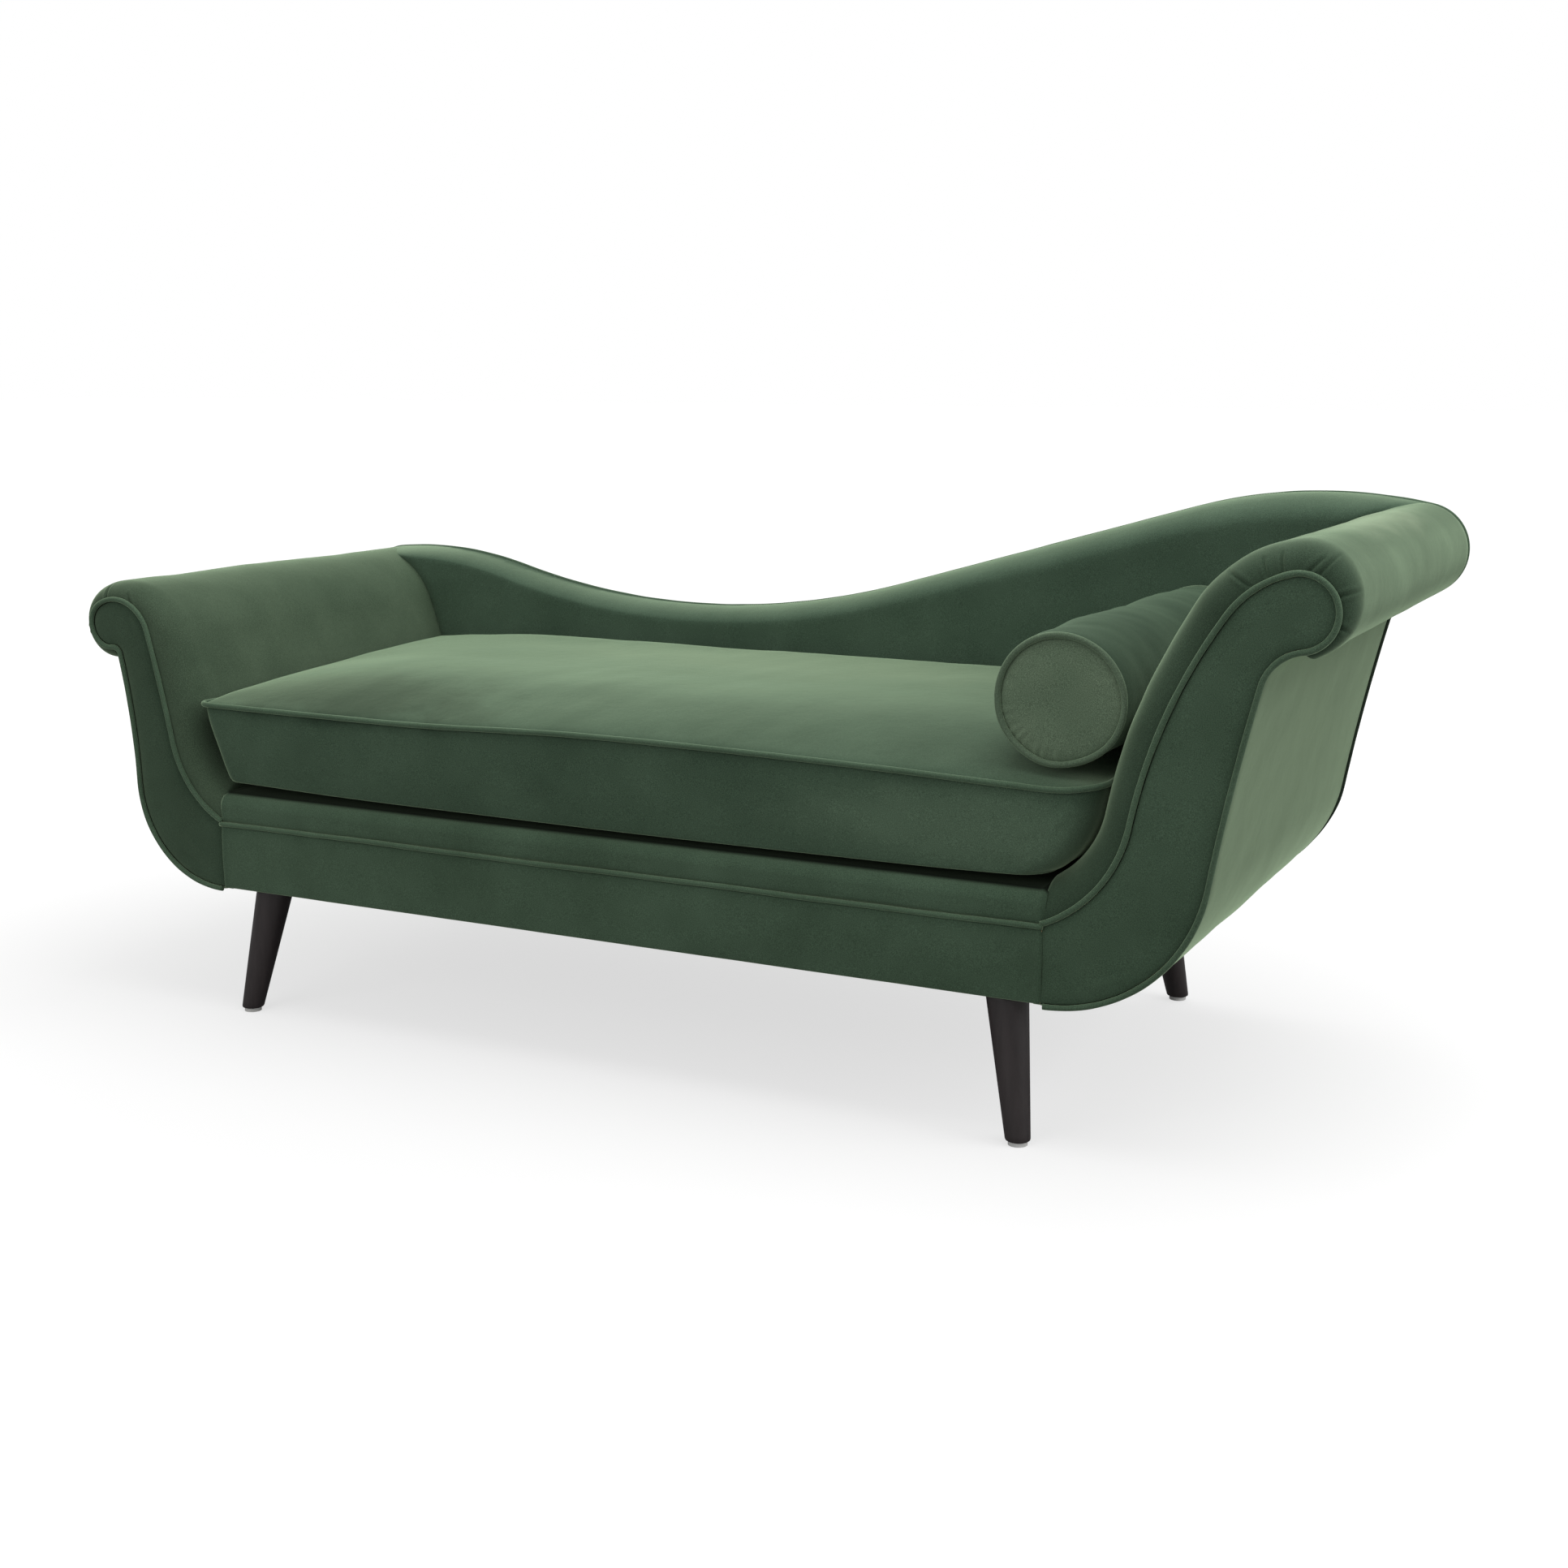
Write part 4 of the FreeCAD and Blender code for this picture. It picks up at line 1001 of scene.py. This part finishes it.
def welt_line(loop):
    """The height of the top seam: a slow wave along the front, with a lift at the head end's corner."""
    x, y = loop[:, 0], loop[:, 1]
    knots = (-700, -450, -300, -30, 215, 440, 600, 655, 690, 720)
    rises = (464.9, 463.7, 463.6, 470.6, 469.2, 464.6, 459.6, 458.4, 461.6, 465.0)
    line = smooth_curve(knots, rises, x)
    front = within((-y - 150.0) / 200.0)
    back = 463.0 + 3.0 * within((y + 300.0) / 100.0)
    return line * front + back * (1 - front)


LOWER_PLACES = (-700, -610, -450, -170, 90, 330, 550, 650, 710)
LOWER_HEIGHTS = (352.0, 350.4, 346.4, 343.8, 342.6, 343.4, 345.6, 348.8, 351.6)


def lower_line(x):
    """The front's lower edge: on the deck in the middle, curling up towards the ends."""
    return smooth_curve(LOWER_PLACES, LOWER_HEIGHTS, x)


# The underside rings: how far in each lies, and its share of the rise to the lower edge.
UNDER_RINGS = (
    (308.0, 0.1), (240.0, 0.0), (170.0, 0.0), (110.0, 0.0), (90.0, 0.04), (74.0, 0.14), (60.0, 0.40),
    (46.0, 0.70), (32.0, 0.88), (18.0, 0.96), (5.0, 1.0),
)
TOP_INSETS = (
    0.4, 2.5, 5.0, 9.0, 14.0, 21.0, 30.0, 42.0, 56.0, 74.0, 96.0, 122.0, 150.0, 180.0, 212.0, 246.0, 280.0,
    308.0,
)
CUSHION_CREASES = [
    ((672, 446), (640, 418), 2.2), ((655, 450), (628, 436), 1.5), ((676, 425), (655, 396), 1.6),
    ((648, 408), (604, 382), 1.1), ((-640, 440), (-618, 415), 1.2), ((-600, 448), (-588, 424), 0.8),
    ((300, 452), (296, 430), 0.8), ((80, 456), (86, 430), 0.6), ((-260, 450), (-266, 428), 0.6),
]
LOWER_ROUND = 5.0
BORDER_RINGS = 19


def cushion_rings():
    """The rings of the cushion: its underside, its rounded lower edge, its border and its crowned top."""
    rings = []
    for inset, rise in UNDER_RINGS:
        loop = cushion_loop(350.0, inset)
        rings.append((loop, CUSHION_BOTTOM + (lower_line(loop[:, 0]) - CUSHION_BOTTOM) * rise))
    for angle in np.radians((25.0, 50.0, 75.0)):
        loop = cushion_loop(351.0, LOWER_ROUND * (1 - math.sin(angle)))
        rings.append((loop, lower_line(loop[:, 0]) + LOWER_ROUND * (1 - math.cos(angle))))
    for t in np.linspace(0, 1, BORDER_RINGS):
        loop = cushion_loop(355.0 + (CUSHION_EDGE - 355.0) * t, 0.0)
        low = lower_line(loop[:, 0]) + LOWER_ROUND
        heights = low + (welt_line(loop) - 3.4 - low) * t
        front = within((-loop[:, 1] - 300.0) / 45.0)
        loop[:, 1] -= 3.0 * math.sin(math.pi * t) ** 0.75 * front
        loop[:, 1] += 1.8 * max(0.0, (t - 0.88) / 0.12) ** 2 * front
        rings.append((loop, heights))
    for inset in TOP_INSETS:
        loop = cushion_loop(CUSHION_EDGE, inset)
        rounding = 2.6 * (1 - math.exp(-(inset - 0.4) / 4.0)) - 0.8
        rings.append((loop, welt_line(loop) + crown(loop[:, 0], loop[:, 1]) + rounding))
    return np.array([np.column_stack(ring) for ring in rings])


def cushion_caps(n_rings, around):
    """Strips of quads that close the innermost loop of the underside and of the top."""
    faces = []
    turn = END_POINTS + 2 * CORNER_POINTS
    front_side = list(range(SIDE_POINTS + 1))
    back_side = list(range(SIDE_POINTS + turn, 2 * SIDE_POINTS + turn + 1))[::-1]
    right = [SIDE_POINTS + k for k in range(turn + 1)]
    left = [(2 * SIDE_POINTS + turn + k) % around for k in range(turn + 1)]
    for base, flip in ((0, True), ((n_rings - 1) * around, False)):
        strip = zip(front_side, front_side[1:], back_side[1:], back_side)
        for loop in (*strip, right, left):
            face = tuple(base + k for k in loop)
            faces.append(face[::-1] if flip else face)
    return faces


def seat_cushion():
    points = cushion_rings()
    n_rings, around = points.shape[:2]
    rows = np.arange(n_rings)[:, None]
    first_border = len(UNDER_RINGS) + 3
    border = first_border + BORDER_RINGS
    on_border = (rows >= first_border) & (rows < border)
    on_top = within((rows - border) / 6.0)
    bumps = lumps(points, 130.0, 0.8, 101) + lumps(points, 48.0, 0.3, 102)
    front = within((-points[..., 1] - 300.0) / 40.0) * on_border
    height = within(np.minimum(points[..., 2] - 350.0, 456.0 - points[..., 2]) / 25.0)
    points[..., 1] -= bumps * front * height
    clear = np.clip((np.abs(points[..., 0] - BOLSTER_X) - BOLSTER_RADIUS * 0.7) / 60.0, 0.15, 1)
    points[..., 2] += (lumps(points, 210.0, 0.8, 103) + lumps(points, 80.0, 0.3, 104)) * on_top * clear
    for a, b, depth in CUSHION_CREASES:
        points[..., 1] += depth * crease(points[..., [0, 2]], a, b, 5.0) * front
    faces = ring_faces(n_rings, around, capped=False) + cushion_caps(n_rings, around)
    piece = make_piece("seat_cushion", points.reshape(-1, 3), faces, "seat_cushion", VELVET_TOP)
    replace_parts(piece, "cushion_cover", "cushion_wrap", "cushion_foam")
    loop = cushion_loop(CUSHION_EDGE, -2.4)
    path = np.column_stack([loop, welt_line(loop)])
    thick = WELT + 0.7
    welt = tube_piece("seat_cushion_welt", path, thick, "seat_cushion", VELVET_WELT, closed=True, seed=111)
    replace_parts(welt, "cushion_welt")


seat_cushion()


# Bolster
def bolster_radius(angle):
    """The roll's radius: a little flat where it lies on the cushion and leans on the arm, fuller above."""
    flat = 3.4 * bell(angle + 1.25, 0.5) + 2.0 * bell(angle + 2.2, 0.45)
    full = 1.6 * bell(angle - 0.2, 0.9) + 1.0 * bell(angle - 2.2, 0.8)
    return BOLSTER_RADIUS - 0.6 - flat + full


def round_bolster(angles, radius, y):
    """Points round the bolster's axis, at their angles, radii and depths."""
    flat = [BOLSTER_X + radius * np.cos(angles), BOLSTER_Z + radius * np.sin(angles)]
    return at_depth(np.stack(flat, -1), y)


def bolster():
    y0, y1 = BOLSTER_Y
    middle = np.linspace(y0 + 19, y1 - 19, 90)
    ys = np.concatenate([np.linspace(y0, y0 + 14, 9), middle, np.linspace(y1 - 14, y1, 9)])
    angles = np.linspace(-math.pi, math.pi, 140, endpoint=False)[:, None]
    share = (ys - y0) / (y1 - y0)
    swell = 3.2 * (1 - np.exp(-np.minimum(ys - y0, y1 - ys) / 16.0)) + 3.4 * bell(share - 0.3, 0.2)
    swell += 1.8 * bell(share - 0.78, 0.14) - 1.6 * bell(share - 0.52, 0.1)
    radius = bolster_radius(angles) + (swell - 1.0) * (0.5 + 0.5 * np.sin(angles)) ** 1.2
    points = round_bolster(angles, radius, ys)
    upper = within(0.55 + 0.45 * (points[..., 2] - BOLSTER_Z) / BOLSTER_RADIUS)
    fade = within(np.minimum(points[..., 1] - y0, y1 - points[..., 1]) / 22.0) * upper
    radius += (lumps(points, 120.0, 1.1, 121) + lumps(points, 45.0, 0.4, 122)) * fade
    points = round_bolster(angles, radius, ys)
    piece = grid_piece("bolster_roll", points, "bolster", VELVET_ROLL, wrap_u=True)
    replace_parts(piece, "bolster_cover", "bolster_core")


def bolster_end(name, y, facing, seed):
    """A domed round end with small puckers along the seam, most of them low down."""
    shares = np.concatenate([np.linspace(0.006, 0.72, 26), np.linspace(0.74, 0.985, 22)])
    angles = np.linspace(-math.pi, math.pi, 288, endpoint=False)[:, None]
    low = 0.2 + 0.8 * bell(angles + 2.0, 0.9)
    waves = np.sin(angles * 31 + 2.0 * np.sin(angles * 3.0 + seed)) + 0.6 * np.sin(angles * 47 + seed)
    dome = 6.0 * (1 - shares ** 5) - 2.2 * shares ** 14
    pucker = np.maximum((shares - 0.62) / 0.38, 0.0) ** 1.3 * (1 - shares ** 10) * low * waves * 1.5
    points = round_bolster(angles, bolster_radius(angles) * shares, y + facing * (dome + pucker - 2.4))
    points[..., 1] += facing * lumps(points, 70.0, 0.7, 130 + seed) * (1 - shares) * 1.6
    piece = grid_piece(name, points, "bolster", VELVET_DISC, wrap_u=True, flip=facing > 0)
    return piece


def bolster_welt(name, y, seed):
    angles = np.linspace(-math.pi, math.pi, 200, endpoint=False)
    ring = round_bolster(angles, bolster_radius(angles) - 2.6, y)
    return tube_piece(name, ring, 4.0, "bolster", VELVET_DISC_WELT, closed=True, seed=seed)


bolster()
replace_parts(bolster_end("bolster_disc_front", BOLSTER_Y[0], -1, 1), "bolster_end_front")
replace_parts(bolster_end("bolster_disc_rear", BOLSTER_Y[1], 1, 2), "bolster_end_rear")
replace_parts(bolster_welt("bolster_welt_front", BOLSTER_Y[0] - 1.6, 140), "bolster_welts")
bolster_welt("bolster_welt_rear", BOLSTER_Y[1] + 1.6, 141)


# Legs
TOP_PLACE, FOOT_PLACE = (585.0, 315.0, 189.5), (615.0, 345.0, 6.0)
TOP_RADIUS, FOOT_RADIUS = 27.7, 16.2


def leg(name, node, sx, sy):
    side = np.array([sx, sy, 1])
    top, foot = TOP_PLACE * side, FOOT_PLACE * side
    levels = [(0.0, -1.6), (0.004, -0.5), (0.012, 0.0)] + [(t, 0.0) for t in np.linspace(0.05, 1.0, 26)]
    angles = np.linspace(0, 2 * math.pi, 64, endpoint=False)
    rim = np.stack([np.cos(angles), np.sin(angles), np.zeros(64)], 1)
    rings = []
    for t, trim in levels:
        radius = FOOT_RADIUS + (TOP_RADIUS - FOOT_RADIUS) * t + trim
        rings.append(foot + (top - foot) * t + radius * rim)
    points = np.vstack(rings)
    faces = ring_faces(len(rings), len(angles))
    piece = make_piece(name, points, faces, "frame", SLOT_MATERIALS["leg_wood"])
    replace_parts(piece, node)


for sy, depth in ((-1, "front"), (1, "rear")):
    for sx, end in ((-1, "foot_end"), (1, "head_end")):
        leg("turned_leg_%s_%s" % (depth, end), "leg_%s_%s" % (depth, end), sx, sy)


# Room, lights and camera
def floor():
    mesh = bpy.data.meshes.new("floor")
    size = 40.0
    corners = [(-size, -size, 0), (size, -size, 0), (size, size, 0), (-size, size, 0)]
    mesh.from_pydata(corners, [], [(0, 1, 2, 3)])
    piece = bpy.data.objects.new("floor", mesh)
    bpy.context.scene.collection.objects.link(piece)
    mat = bpy.data.materials.new("floor_white")
    tree = Tree(mat)
    tree.nodes.clear()
    spot = tree.add("TexCoord").outputs["Object"]
    away = tree.maths("VectorMath", "LENGTH", spot).outputs["Value"]
    level = tree.map_range(away, 0.6, 2.6, 0.66, 0.88)
    seen = tree.add("LightPath").outputs["Is Camera Ray"]
    glow = tree.add("Emission", {"Strength": tree.maths("Math", "MULTIPLY", seen, level).outputs[0]})
    diffuse = tree.add("BsdfDiffuse", {"Color": (0.32, 0.32, 0.32, 1.0)})
    both = tree.add("AddShader", {0: diffuse.outputs[0], 1: glow.outputs[0]})
    tree.add("OutputMaterial", {"Surface": both.outputs[0]})
    mesh.materials.append(mat)


def area_light(name, place, target, size, power):
    light = bpy.data.lights.new(name, "AREA")
    light.shape = "RECTANGLE"
    light.size, light.size_y = size
    light.energy = power
    lamp = bpy.data.objects.new(name, light)
    lamp.location = place
    lamp.rotation_euler = (Vector(target) - Vector(place)).to_track_quat("-Z", "Y").to_euler()
    bpy.context.scene.collection.objects.link(lamp)


floor()
area_light("top_soft", (0.7, 0.1, 3.4), (0.0, 0.0, 0.3), (3.4, 2.6), 68.0)
area_light("right_soft", (3.6, 0.2, 1.9), (0.3, 0.0, 0.4), (2.2, 2.2), 46.0)
area_light("front_soft", (-1.2, -4.2, 2.2), (0.0, 0.0, 0.4), (3.0, 2.0), 30.0)

world = bpy.data.worlds.new("studio")
bpy.context.scene.world = world
sky = Tree(world)
seen = sky.add("LightPath").outputs["Is Camera Ray"]
brightness = sky.map_range(seen, 0.0, 1.0, 0.55, 1.0, "LINEAR")
sky.fill(sky.nodes["Background"], {"Color": (1.0, 1.0, 1.0, 1.0), "Strength": brightness})

camera_data = bpy.data.cameras.new("camera")
camera_data.sensor_width = 36.0
camera_data.lens = 48.36
camera_data.clip_end = 100.0
camera = bpy.data.objects.new("camera", camera_data)
bpy.context.scene.collection.objects.link(camera)
place = Vector((1.48836 + MIDDLE[0] * MM, -2.70639, 0.96298))
aim = Euler((math.radians(90.0 - 11.36), 0.0, math.radians(26.98)))
camera.matrix_world = Matrix.LocRotScale(place, aim, None)
bpy.context.scene.camera = camera
bpy.context.scene.view_settings.view_transform = "Standard"
